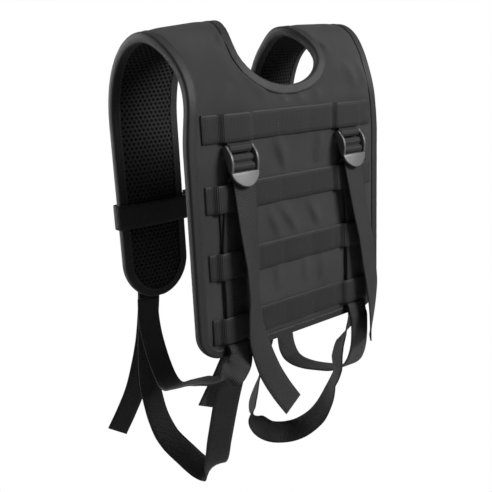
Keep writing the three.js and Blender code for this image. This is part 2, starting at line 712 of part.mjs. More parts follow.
function keeperBand(side, word) {
  const inside = { x: PAD_HALF + BAND_CLEARANCE, n: BINDING_HALF + BAND_CLEARANCE };
  const ring = new THREE.Shape();
  const outline = (path, grow) => {
    path.moveTo(-inside.x - grow, -inside.n - grow);
    path.lineTo(inside.x + grow, -inside.n - grow);
    path.lineTo(inside.x + grow, inside.n + grow);
    path.lineTo(-inside.x - grow, inside.n + grow);
    path.closePath();
    return path;
  };
  outline(ring, BAND_THICK);
  ring.holes.push(outline(new THREE.Path(), 0));
  const loop = new THREE.ExtrudeGeometry(ring, { depth: WEBBING_WIDTH, bevelEnabled: false });
  const solid = mapped(loop, (x, y, z) =>
    bend(side * PAD_MIDDLE + x, BAND_S - WEBBING_WIDTH / 2 + z, y));
  addPart(`${word}_sternum_band`, solid, 'webbing');
}

// The buckle's own frame: x across the chest, y out from it, z up; the strap's line is y = z = 0
const STERNUM_Y = FRONT_DEPTH + BINDING_HALF + BAND_CLEARANCE + BAND_THICK + GAP + SOCKET.thick / 2;
const STERNUM_Z = FRONT_Z - (BAND_S - FRONT_S);

function socketBody() {
  const { length, width, thick, wall } = SOCKET;
  const outer = boxBetween([0, -thick / 2, -width / 2], [length, thick / 2, width / 2]);
  const back = BUCKLE_SLOT + 2 * wall;
  const mouth = boxBetween(
    [back, -thick / 2 + wall, -width / 2 + wall],
    [length + 1, thick / 2 - wall, width / 2 - wall],
  );
  const slot = boxBetween(
    [wall, -thick, -WEBBING_WIDTH / 2 - GAP],
    [wall + BUCKLE_SLOT, thick, WEBBING_WIDTH / 2 + GAP],
  );
  const windowStart = length - PLUG.prong + 1;
  const windowEnd = length - PLUG.prong + 10;
  const window = (side) => boxBetween(
    [windowStart, -thick / 2 + wall, side > 0 ? width / 2 - wall - 1 : -width / 2 - 1],
    [windowEnd, thick / 2 - wall, side > 0 ? width / 2 + 1 : -width / 2 + wall + 1],
  );
  return [mouth, slot, window(1), window(-1)].reduce(
    (solid, cut) => solid.subtract(toSolid(cut)),
    toSolid(outer),
  );
}

function plugBody() {
  const { body, prong, prongWidth, barb, guideWidth } = PLUG;
  const { thick, wall, width } = SOCKET;
  const start = SOCKET.length + GAP;
  const halfThick = thick / 2 - wall - 2 * GAP;
  const inside = width / 2 - wall - GAP - barb; // the prongs stand squeezed in, so that the plug slides
  const blockHalf = thick / 2 - PLUG.thinner;
  const block = boxBetween([start, -blockHalf, -width / 2], [start + body, blockHalf, width / 2]);
  const guide = boxBetween(
    [start - prong + 2, -halfThick, -guideWidth / 2],
    [start + 1, halfThick, guideWidth / 2],
  );
  const prongAt = (side) => {
    const outline = new THREE.Shape();
    outline.moveTo(start + 1, inside);
    outline.lineTo(start - prong + 9, inside);
    outline.lineTo(start - prong + 8, inside + barb);
    outline.lineTo(start - prong + 2, inside - 1);
    outline.lineTo(start - prong + 2, inside - prongWidth);
    outline.lineTo(start + 1, inside - prongWidth);
    return mapped(
      new THREE.ExtrudeGeometry(outline, { depth: 2 * halfThick, bevelEnabled: false }),
      (x, y, z) => new THREE.Vector3(x, z - halfThick, side * y),
    );
  };
  const slotStart = start + body - wall - BUCKLE_SLOT;
  const slot = boxBetween(
    [slotStart, -thick, -WEBBING_WIDTH / 2 - GAP],
    [slotStart + BUCKLE_SLOT, thick, WEBBING_WIDTH / 2 + GAP],
  );
  return join([block, guide, prongAt(1), prongAt(-1)]).subtract(toSolid(slot));
}

// Webbing from a keeper band behind a buckle half, out through its slot and back over itself
function sternumWebbing(startX, slotX, out) {
  const rear = -SOCKET.thick / 2;
  const front = SOCKET.thick / 2 + WEBBING_THICK;
  const path = [
    [startX, rear - 1],
    [slotX - out, rear - 1],
    [slotX, rear + 1.5],
    [slotX, front - 1],
    [slotX - out * 2.5, front],
    [slotX - out * 9, front],
  ];
  const half = WEBBING_WIDTH / 2;
  return ribbon(path, -half, half, (z, x, y) => new THREE.Vector3(x, STERNUM_Y + y, STERNUM_Z + z));
}

function sternumStrap() {
  const shift = (x, y, z) => new THREE.Vector3(SOCKET_X + x, STERNUM_Y + y, STERNUM_Z + z);
  addPart('sternum_buckle_socket', mapped(fromSolid(socketBody()), shift), 'plastic');
  addPart('sternum_buckle_plug', mapped(fromSolid(plugBody()), shift), 'plastic');
  const bandEdge = STRAP_INNER - BAND_CLEARANCE - BAND_THICK - GAP;
  const slotInset = SOCKET.wall + BUCKLE_SLOT / 2;
  const socketSlot = SOCKET_X + slotInset;
  const plugSlot = SOCKET_X + SOCKET.length + GAP + PLUG.body - slotInset;
  addPart('left_sternum_webbing', sternumWebbing(-bandEdge, socketSlot, 1), 'webbing');
  addPart('right_sternum_webbing', sternumWebbing(bandEdge, plugSlot, -1), 'webbing');
}

// ---- Assembly ----
panelLayers();
panelBinding();
neckBinding();
for (let row = 0; row < ROW_COUNT; row++) webbingRow(row);
for (const [side, word] of [[-1, 'left'], [1, 'right']]) {
  strapLayers(side, word);
  strapBinding(side, word);
  ladderLock(`${word}_back`, backHinge(side));
  ladderLock(`${word}_front`, frontHinge(side));
  strapsUnderRows(side, word);
  keeperBand(side, word);
}
sternumStrap();
for (const [name, points] of Object.entries(HANGING)) {
  addPart(name, hangingStrap(points, 3 * (points.length - 1)), 'webbing');
}

export default group;
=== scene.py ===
# A padded webbing yoke worn like a vest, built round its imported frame. Metres, +Z up, the wearer faces
# +Y. Order: camera, materials, mesh helpers, hanging straps, the yoke's cloth, lining and foam, its
# binding, webbing rows, ladder locks, straps on the panel, sternum strap, floor and lights.
import json
import math

import bmesh
import bpy
import numpy as np
from mathutils import Matrix, Vector, noise


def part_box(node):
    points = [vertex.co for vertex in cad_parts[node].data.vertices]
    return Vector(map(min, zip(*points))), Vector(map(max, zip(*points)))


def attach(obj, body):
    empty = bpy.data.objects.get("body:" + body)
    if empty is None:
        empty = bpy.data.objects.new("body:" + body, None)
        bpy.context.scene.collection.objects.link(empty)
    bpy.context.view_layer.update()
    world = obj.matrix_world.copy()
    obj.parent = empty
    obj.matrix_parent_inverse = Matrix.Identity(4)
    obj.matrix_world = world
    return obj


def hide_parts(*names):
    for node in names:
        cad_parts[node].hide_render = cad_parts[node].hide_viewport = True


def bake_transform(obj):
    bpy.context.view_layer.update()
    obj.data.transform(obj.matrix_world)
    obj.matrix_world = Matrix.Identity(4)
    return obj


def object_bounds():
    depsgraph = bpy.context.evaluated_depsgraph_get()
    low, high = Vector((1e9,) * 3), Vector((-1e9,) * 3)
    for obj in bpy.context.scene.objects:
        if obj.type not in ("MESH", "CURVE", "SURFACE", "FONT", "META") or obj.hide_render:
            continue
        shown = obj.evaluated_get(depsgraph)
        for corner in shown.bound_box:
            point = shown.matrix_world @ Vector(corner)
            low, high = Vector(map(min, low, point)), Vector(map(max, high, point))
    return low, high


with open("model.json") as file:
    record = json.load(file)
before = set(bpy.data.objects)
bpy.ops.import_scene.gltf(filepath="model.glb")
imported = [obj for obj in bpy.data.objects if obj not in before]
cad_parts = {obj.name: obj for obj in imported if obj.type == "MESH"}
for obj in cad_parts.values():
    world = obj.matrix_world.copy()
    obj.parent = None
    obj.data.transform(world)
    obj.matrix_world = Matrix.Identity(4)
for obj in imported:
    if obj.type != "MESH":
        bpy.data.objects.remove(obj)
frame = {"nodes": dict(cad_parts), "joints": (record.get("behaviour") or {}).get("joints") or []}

CAD_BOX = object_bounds()
for loaded in bpy.context.selected_objects:
    loaded.select_set(False)

# ---- Places that the frame gives ----
HINGES = {joint["name"]: Vector(joint["pos_m"]) for joint in frame["joints"] if "pos_m" in joint}
PANEL_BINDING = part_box("back_panel_edge_binding")
STRAP_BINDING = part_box("left_strap_edge_binding")
ROWS = [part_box(f"webbing_row_{number}") for number in (1, 2, 3, 4)]
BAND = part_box("left_sternum_band")
FRONT_Y = (BAND[0].y + BAND[1].y) / 2  # middle of the front pads
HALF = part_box("left_strap_outer_fabric")[1].y - FRONT_Y  # half the padded cloth's thickness
BACK_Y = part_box("back_panel_outer_fabric")[0].y + HALF  # middle of the back panel
FOOT_Z = PANEL_BINDING[0].z
BEND_Z = ROWS[0][1].z
PAD_END_Z = STRAP_BINDING[0].z
PANEL_HALF_WIDTH = PANEL_BINDING[1].x
STRAP_OUTER = -STRAP_BINDING[0].x
STRAP_INNER = -STRAP_BINDING[1].x
CREST_Z = HALF
WEBBING_WIDTH = ROWS[0][1].z - ROWS[0][0].z

# ---- The cut of the yoke ----
WEBBING_THICK = 0.0016
LAID_GAP = 0.0003  # between webbing and what it lies on
FRONT_Z = CREST_Z - 0.086  # where the front pads begin to hang straight
PAD_END_RISE = 0.040
PANEL_CORNER = 0.026
WAIST_HALF_WIDTH = 0.115
WAIST_TAPER = 0.060
WAIST_ABOVE_NECK = 0.007
NECK_BOTTOM = 0.019  # above the panel's bend, along the cloth
NECK_DEPTH = 0.033
SHOULDER_SLOPE = 0.12
RIGHT_SLOPE = -0.02  # the right shoulder has slumped flatter than the left
RIGHT_NARROWING = 0.013  # how far its front edge draws in between the ridge and the pad
SLOPE_CHANGE = 0.03  # half the width over which one shoulder's slope becomes the other's
DRAWN_FROM = -0.01  # where the narrowing starts, past the ridge
DRAWN_FULL = 0.06
DRAWN_RELEASE = 0.07  # how far below the bend it has gone again
NECK_CLOSING = 0.008  # how far the straps' inner edges close in at the ridge
EDGE_HALF = 0.0036  # half the thickness that the binding squeezes the pad to
DOME_START = 0.006  # from the edge: flat under the binding up to here
DOME_END = 0.024  # full thickness from here
BINDING_WIDTH = 0.0085
BINDING_THICK = 0.0010
ARCH = {"back_rise": 0.45, "back_reach": 0.55, "front_reach": 0.55, "front_fall": 0.4}

# ---- Camera ----
CAMERA_AT = Vector((-0.4514, -0.5587, -0.0224))
CAMERA_YAW = math.radians(-37.96)
CAMERA_PITCH = math.radians(14.85)  # downwards
CAMERA_ROLL = math.radians(-2.70)
CAMERA_LENS = 51.2
SENSOR = 36.0


def make_camera():
    flat = Vector((-math.sin(CAMERA_YAW), math.cos(CAMERA_YAW), 0))
    side = Vector((math.cos(CAMERA_YAW), math.sin(CAMERA_YAW), 0))
    forward = flat * math.cos(CAMERA_PITCH) - Vector((0, 0, math.sin(CAMERA_PITCH)))
    up = side.cross(forward)
    right = side * math.cos(CAMERA_ROLL) + up * math.sin(CAMERA_ROLL)
    top = up * math.cos(CAMERA_ROLL) - side * math.sin(CAMERA_ROLL)
    data = bpy.data.cameras.new("camera")
    data.lens = CAMERA_LENS
    data.sensor_width = SENSOR
    camera = bpy.data.objects.new("camera", data)
    bpy.context.scene.collection.objects.link(camera)
    turn = Matrix((right, top, -forward)).transposed().to_4x4()
    camera.matrix_world = Matrix.Translation(CAMERA_AT) @ turn
    bpy.context.scene.camera = camera


make_camera()


# ---- Material parts ----
class Nodes:
    """Short ways to add and join the nodes of one material or group."""

    def __init__(self, tree):
        self.tree = tree

    def add(self, kind, **settings):
        node = self.tree.nodes.new(kind)
        for key, value in settings.items():
            setattr(node, key, value)
        return node

    def put(self, socket, value):
        if isinstance(value, bpy.types.NodeSocket):
            self.tree.links.new(value, socket)
        else:
            socket.default_value = value

    def math(self, operation, first, second=0.0, third=None):
        node = self.add("ShaderNodeMath", operation=operation)
        self.put(node.inputs[0], first)
        self.put(node.inputs[1], second)
        if third is not None:
            self.put(node.inputs[2], third)
        return node.outputs[0]

    def noise(self, vector, scale, detail=3.0, rough=0.5):
        node = self.add("ShaderNodeTexNoise")
        self.put(node.inputs["Vector"], vector)
        node.inputs["Scale"].default_value = scale
        node.inputs["Detail"].default_value = detail
        node.inputs["Roughness"].default_value = rough
        return node.outputs["Fac"]

    def mix(self, share, first, second):
        node = self.add("ShaderNodeMix", data_type="RGBA")
        self.put(node.inputs[0], share)
        self.put(node.inputs[6], first)
        self.put(node.inputs[7], second)
        return node.outputs[2]

    def span(self, value, low, high, to_low=0.0, to_high=1.0):
        node = self.add("ShaderNodeMapRange", interpolation_type="SMOOTHSTEP")
        self.put(node.inputs["Value"], value)
        node.inputs["From Min"].default_value = low
        node.inputs["From Max"].default_value = high
        node.inputs["To Min"].default_value = to_low
        node.inputs["To Max"].default_value = to_high
        return node.outputs["Result"]


def new_group(name, inputs, outputs):
    """An empty shader node group; returns its Nodes, its input node and its output node."""
    tree = bpy.data.node_groups.new(name, "ShaderNodeTree")
    for label, kind, value in inputs:
        socket = tree.interface.new_socket(label, in_out="INPUT", socket_type=kind)
        if value is not None:
            socket.default_value = value
    for label, kind in outputs:
        tree.interface.new_socket(label, in_out="OUTPUT", socket_type=kind)
    nodes = Nodes(tree)
    return nodes, nodes.add("NodeGroupInput"), nodes.add("NodeGroupOutput")


def plain_weave_group():
    """Threads over and under each other, on a surface map in metres."""
    nodes, given, result = new_group(
        "plain_weave",
        [("Map", "NodeSocketVector", None), ("Pitch", "NodeSocketFloat", 0.0011)],
        [("Height", "NodeSocketFloat")],
    )
    split = nodes.add("ShaderNodeSeparateXYZ")
    nodes.put(split.inputs[0], given.outputs["Map"])
    turns = nodes.math("DIVIDE", 2 * math.pi, given.outputs["Pitch"])
    across = nodes.math("SINE", nodes.math("MULTIPLY", split.outputs[0], turns))
    along = nodes.math("SINE", nodes.math("MULTIPLY", split.outputs[1], turns))
    nodes.put(result.inputs["Height"], nodes.math("MULTIPLY_ADD", across, along, 1.0))
    return nodes.tree


def webbing_rib_group():
    """Ribs across a webbing, with the small chevrons of its binder threads and a smooth selvedge."""
    nodes, given, result = new_group(
        "webbing_rib",
        [
            ("Map", "NodeSocketVector", None),
            ("Pitch", "NodeSocketFloat", 0.0016),
            ("Chevron", "NodeSocketFloat", 0.0034),
            ("Half Width", "NodeSocketFloat", 0.0125),
        ],
        [("Height", "NodeSocketFloat"), ("Selvedge", "NodeSocketFloat")],
    )
    split = nodes.add("ShaderNodeSeparateXYZ")
    nodes.put(split.inputs[0], given.outputs["Map"])
    zigzag = nodes.math("PINGPONG", split.outputs[0], nodes.math("DIVIDE", given.outputs["Chevron"], 2))
    lifted = nodes.math("MULTIPLY_ADD", zigzag, 0.35, split.outputs[1])
    turns = nodes.math("DIVIDE", 2 * math.pi, given.outputs["Pitch"])
    rib = nodes.math("SINE", nodes.math("MULTIPLY", lifted, turns))
    cord_turns = nodes.math("DIVIDE", 2 * math.pi, nodes.math("MULTIPLY", given.outputs["Pitch"], 0.5))
    cords = nodes.math("SINE", nodes.math("MULTIPLY", split.outputs[0], cord_turns))
    both = nodes.math("MULTIPLY_ADD", cords, 0.3, rib)
    reach = nodes.math("DIVIDE", nodes.math("ABSOLUTE", split.outputs[0]), given.outputs["Half Width"])
    selvedge = nodes.span(reach, 0.86, 0.93)
    plain = nodes.math("SUBTRACT", 1.0, selvedge)
    nodes.put(result.inputs["Height"], nodes.math("MULTIPLY", both, plain))
    nodes.put(result.inputs["Selvedge"], selvedge)
    return nodes.tree


def spacer_mesh_group():
    """Staggered holes of a knitted spacer mesh: three waves at 60 degrees to each other."""
    nodes, given, result = new_group(
        "spacer_mesh",
        [("Map", "NodeSocketVector", None), ("Pitch", "NodeSocketFloat", 0.0043)],
        [("Height", "NodeSocketFloat"), ("Hole", "NodeSocketFloat")],
    )
    split = nodes.add("ShaderNodeSeparateXYZ")
    nodes.put(split.inputs[0], given.outputs["Map"])
    turns = nodes.math("DIVIDE", 2 * math.pi, given.outputs["Pitch"])
    total = None
    for degrees in (30, 90, 150):
        part = nodes.math("MULTIPLY", split.outputs[0], math.cos(math.radians(degrees)))
        line = nodes.math("MULTIPLY_ADD", split.outputs[1], math.sin(math.radians(degrees)), part)
        wave = nodes.math("COSINE", nodes.math("MULTIPLY", line, turns))
        total = wave if total is None else nodes.math("ADD", total, wave)
    nodes.put(result.inputs["Height"], nodes.math("MULTIPLY", total, -0.4))
    # the second output masks the holes, where shade is painted into the colour
    nodes.put(result.inputs["Hole"], nodes.span(total, 0.1, 1.6))
    return nodes.tree


def wear_group():
    """Slow changes of tone over a piece, with a little lint: Tone for the colour, Lint for a mask."""
    nodes, given, result = new_group(
        "wear",
        [("Place", "NodeSocketVector", None), ("Patch", "NodeSocketFloat", 18.0)],
        [("Tone", "NodeSocketFloat"), ("Lint", "NodeSocketFloat")],
    )
    patch = nodes.add("ShaderNodeTexNoise")
    nodes.put(patch.inputs["Vector"], given.outputs["Place"])
    nodes.put(patch.inputs["Scale"], given.outputs["Patch"])
    patch.inputs["Detail"].default_value = 4.0
    nodes.put(result.inputs["Tone"], nodes.span(patch.outputs["Fac"], 0.3, 0.7))
    lint = nodes.noise(given.outputs["Place"], 900.0, 2.0)
    nodes.put(result.inputs["Lint"], nodes.span(lint, 0.70, 0.78))
    return nodes.tree


GROUPS = {
    "plain_weave": plain_weave_group(),
    "webbing_rib": webbing_rib_group(),
    "spacer_mesh": spacer_mesh_group(),
    "wear": wear_group(),
}


def place_group(nodes, name, **inputs):
    node = nodes.add("ShaderNodeGroup", node_tree=GROUPS[name])
    for label, value in inputs.items():
        nodes.put(node.inputs[label.replace("_", " ")], value)
    return node


def start_material(name, roughness, sheen=0.0, gloss=0.5):
    material = bpy.data.materials.new(name)
    material.use_nodes = True
    material.node_tree.nodes.clear()
    nodes = Nodes(material.node_tree)
    output = nodes.add("ShaderNodeOutputMaterial")
    shader = nodes.add("ShaderNodeBsdfPrincipled")
    nodes.put(output.inputs["Surface"], shader.outputs[0])
    shader.inputs["Roughness"].default_value = roughness
    shader.inputs["Sheen Weight"].default_value = sheen
    shader.inputs["Sheen Roughness"].default_value = 0.4
    shader.inputs["Specular IOR Level"].default_value = gloss
    coordinates = nodes.add("ShaderNodeTexCoord")
    return material, nodes, shader, coordinates.outputs["Object"], coordinates.outputs["UV"]


def bump(nodes, shader, height, distance):
    node = nodes.add("ShaderNodeBump")
    node.inputs["Strength"].default_value = 1.0
    node.inputs["Distance"].default_value = distance
    nodes.put(node.inputs["Height"], height)
    nodes.put(shader.inputs["Normal"], node.outputs[0])


CLOTH_BLUE = 1.06  # black dyes look slightly blue
PLASTIC_BLUE = 1.02


def grey(value, blue=CLOTH_BLUE):
    return (value, value, value * blue, 1.0)


def worn_tone(nodes, place, patch, darkest, lightest, blue=CLOTH_BLUE):
    """A tone that changes slowly over the piece, and the mask of the lint on it."""
    wear = place_group(nodes, "wear", Place=place, Patch=patch)
    return nodes.mix(wear.outputs["Tone"], grey(darkest, blue), grey(lightest, blue)), wear.outputs["Lint"]


def put_colour(nodes, shader, colour, marks, marks_tone):
    """The finished colour, with another tone where the mask has marks."""
    nodes.put(shader.inputs["Base Color"], nodes.mix(marks, colour, grey(marks_tone)))


def pack_cloth(name, base, pitch=0.0011, depth=0.00016):
    material, nodes, shader, place, surface = start_material(name, 0.55, 0.05, 0.22)
    weave = place_group(nodes, "plain_weave", Map=surface, Pitch=pitch)
    tone, lint = worn_tone(nodes, place, 22.0, base * 0.82, base * 1.16)
    threads = nodes.span(weave.outputs["Height"], 0.0, 2.0, 0.0, 0.35)
    put_colour(nodes, shader, nodes.mix(threads, tone, grey(base * 0.6)), lint, base * 1.8)
    bump(nodes, shader, weave.outputs["Height"], depth)
    return material


def webbing_cloth(name, base, pitch=0.0016, depth=0.00013):
    material, nodes, shader, place, surface = start_material(name, 0.6, 0.05, 0.22)
    rib = place_group(nodes, "webbing_rib", Map=surface, Pitch=pitch)
    tone, lint = worn_tone(nodes, place, 30.0, base * 0.86, base * 1.14)
    ribbed = nodes.span(rib.outputs["Height"], -1.2, 1.2)
    shaded = nodes.mix(ribbed, grey(base * 0.72), tone)
    edged = nodes.mix(rib.outputs["Selvedge"], shaded, grey(base * 0.8))
    put_colour(nodes, shader, edged, lint, base * 1.9)
    bump(nodes, shader, rib.outputs["Height"], depth)
    return material


def spacer_cloth(name, base, depth=0.0011):
    material, nodes, shader, place, surface = start_material(name, 0.9, 0.0, 0.1)
    mesh = place_group(nodes, "spacer_mesh", Map=surface)
    tone, _ = worn_tone(nodes, place, 14.0, base * 0.85, base * 1.15)
    # painted shade: the mesh's holes, the low places of its bump, are darkened nearly to black
    put_colour(nodes, shader, tone, mesh.outputs["Hole"], base * 0.12)
    bump(nodes, shader, mesh.outputs["Height"], depth)
    return material


def foam_core(name, base, depth=0.0004):
    material, nodes, shader, place, _ = start_material(name, 0.95)
    cells = nodes.noise(place, 700.0, 2.0)
    nodes.put(shader.inputs["Base Color"], nodes.mix(cells, grey(base * 0.6), grey(base * 1.4)))
    bump(nodes, shader, cells, depth)
    return material


def moulded_plastic(name, base, roughness, depth=0.00006):
    material, nodes, shader, place, _ = start_material(name, roughness)
    grain = nodes.noise(place, 2600.0, 2.0)
    tone, lint = worn_tone(nodes, place, 60.0, base * 0.9, base * 1.1, PLASTIC_BLUE)
    put_colour(nodes, shader, tone, lint, base * 1.5)
    nodes.put(shader.inputs["Roughness"], nodes.span(grain, 0.3, 0.7, roughness - 0.05, roughness + 0.08))
    bump(nodes, shader, grain, depth)
    return material


def thread(name, base, depth=0.00005):
    material, nodes, shader, place, _ = start_material(name, 0.5, 0.2)
    twist = nodes.noise(place, 3000.0, 1.0)
    nodes.put(shader.inputs["Base Color"], nodes.mix(twist, grey(base * 0.7), grey(base * 1.3)))
    bump(nodes, shader, twist, depth)
    return material


CLOTH = pack_cloth("pack_cloth", 0.021)
TAPE = webbing_cloth("binding_tape", 0.015, pitch=0.0013, depth=0.00014)
WEBBING = webbing_cloth("webbing", 0.012)
SPACER = spacer_cloth("spacer_mesh", 0.017)
FOAM = foam_core("foam", 0.04)
PLASTIC = moulded_plastic("buckle_plastic", 0.042, 0.46)
THREAD = thread("thread", 0.03)


# ---- Mesh helpers ----
def new_piece(name, points, faces, material, surface_map=None, smooth=True):
    """A mesh object from points and faces; surface_map gives each point's place on the cloth, in metres."""
    mesh = bpy.data.meshes.new(name)
    mesh.from_pydata([tuple(point) for point in points], [], faces)
    mesh.validate()
    if surface_map is not None:
        layer = mesh.uv_layers.new(name="surface")
        for loop in mesh.loops:
            layer.data[loop.index].uv = surface_map[loop.vertex_index]
    mesh.materials.append(material)
    for polygon in mesh.polygons:
        polygon.use_smooth = smooth
    piece = bpy.data.objects.new(name, mesh)
    bpy.context.scene.collection.objects.link(piece)
    return piece


def outward(piece):
    """Turns a closed mesh's faces outwards."""
    shape = bmesh.new()
    shape.from_mesh(piece.data)
    bmesh.ops.recalc_face_normals(shape, faces=shape.faces)
    if shape.calc_volume(signed=True) < 0:
        bmesh.ops.reverse_faces(shape, faces=shape.faces)
    shape.to_mesh(piece.data)
    shape.free()


def apply_modifiers(piece):
    bpy.context.view_layer.objects.active = piece
    for modifier in list(piece.modifiers):
        bpy.ops.object.modifier_apply(modifier=modifier.name)


def finish_piece(piece, body, slot, *nodes, bend=None):
    """Says what a finished piece rides on and hides the CAD nodes that it stands for. slot is not used.

    A piece with a bend, (other body, start, end), is not parented: its place is baked into its mesh.
    """
    if bend:
        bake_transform(piece)
    else:
        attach(piece, body)
    if nodes:
        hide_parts(*nodes)


def catmull(points, count):
    """count + 1 places on the curve through points, evenly spaced in its own measure."""
    points = np.array(points, float)
    spans = len(points) - 1
    padded = np.vstack([2 * points[0] - points[1], points, 2 * points[-1] - points[-2]])
    at = np.linspace(0, spans, count + 1)
    first = np.minimum(at.astype(int), spans - 1)
    t = (at - first)[:, None]
    a, b, c, d = (padded[first + k] for k in range(4))
    return 0.5 * (2 * b + (c - a) * t + (2 * a - 5 * b + 4 * c - d) * t**2 + (3 * b - a - 3 * c + d) * t**3)


def unit(vectors):
    return vectors / np.maximum(np.linalg.norm(vectors, axis=-1, keepdims=True), 1e-12)


def distances(points):
    return np.concatenate([[0], np.cumsum(np.linalg.norm(np.diff(points, axis=0), axis=1))])


def webbing_section():
    """A flat webbing's closed outline: thin rounded edges and a few points across each face."""
    half = WEBBING_WIDTH / 2
    edge = WEBBING_THICK * 0.3
    across = np.linspace(-half + edge, half - edge, 7)
    low = [(u, -WEBBING_THICK / 2) for u in across]
    high = [(u, WEBBING_THICK / 2) for u in across[::-1]]
    right = [(half, -WEBBING_THICK / 4), (half, WEBBING_THICK / 4)]
    left = [(-half, WEBBING_THICK / 4), (-half, -WEBBING_THICK / 4)]
    return low + right + high + left


def joined_rings(rings, count, closed):
    """The quads between rings of count points each; a closed run also joins its last ring to its first."""
    faces = []
    for i in range(rings if closed else rings - 1):
        k = (i + 1) % rings
        for j in range(count):
            m = (j + 1) % count
            faces.append((i * count + j, i * count + m, k * count + m, k * count + j))
    return faces


def ribbon(name, centres, across, closed=False):
    """Webbing along centres, its width along across: one closed mesh with a map (across, along)."""
    centres = np.array(centres, float)
    ahead = np.roll(centres, -1, axis=0) - np.roll(centres, 1, axis=0)
    if not closed:
        ahead[0] = centres[1] - centres[0]
        ahead[-1] = centres[-1] - centres[-2]
    ahead = unit(ahead)
    across = np.array(across, float)
    across = unit(across - ahead * np.sum(across * ahead, axis=1, keepdims=True))
    out = np.cross(ahead, across)
    section = webbing_section()
    points = []
    surface = []
    run = distances(centres)
    for centre, side, up, along in zip(centres, across, out, run):
        for u, v in section:
            points.append(centre + side * u + up * v)
            surface.append((u, along))
    count = len(section)
    faces = joined_rings(len(centres), count, closed)
    if not closed:
        faces.append(tuple(range(count))[::-1])
        faces.append(tuple((len(centres) - 1) * count + j for j in range(count)))
    piece = new_piece(name, points, faces, WEBBING, surface)
    outward(piece)
    return piece


STITCH_SIZE = (0.0024, 0.0007, 0.0006)  # length, width, height


def stitches(name, runs):
    """A seam's stitches as small eight-sided beads: runs has each one's middle and its ahead and out ways."""
    points = []
    faces = []
    for middle, ahead, out in runs:
        side = np.cross(ahead, out)
        first = len(points)
        for direction, reach in zip((ahead, side, out), STITCH_SIZE):
            points.append(middle + direction * reach / 2)
            points.append(middle - direction * reach / 2)
        for a in (0, 1):
            for b in (2, 3):
                for c in (4, 5):
                    face = (first + a, first + b, first + c)
                    faces.append(face if (a + b + c) % 2 == 0 else face[::-1])
    run = new_piece(name, points, faces, THREAD, smooth=False)
    finish_piece(run, "root", "webbing")


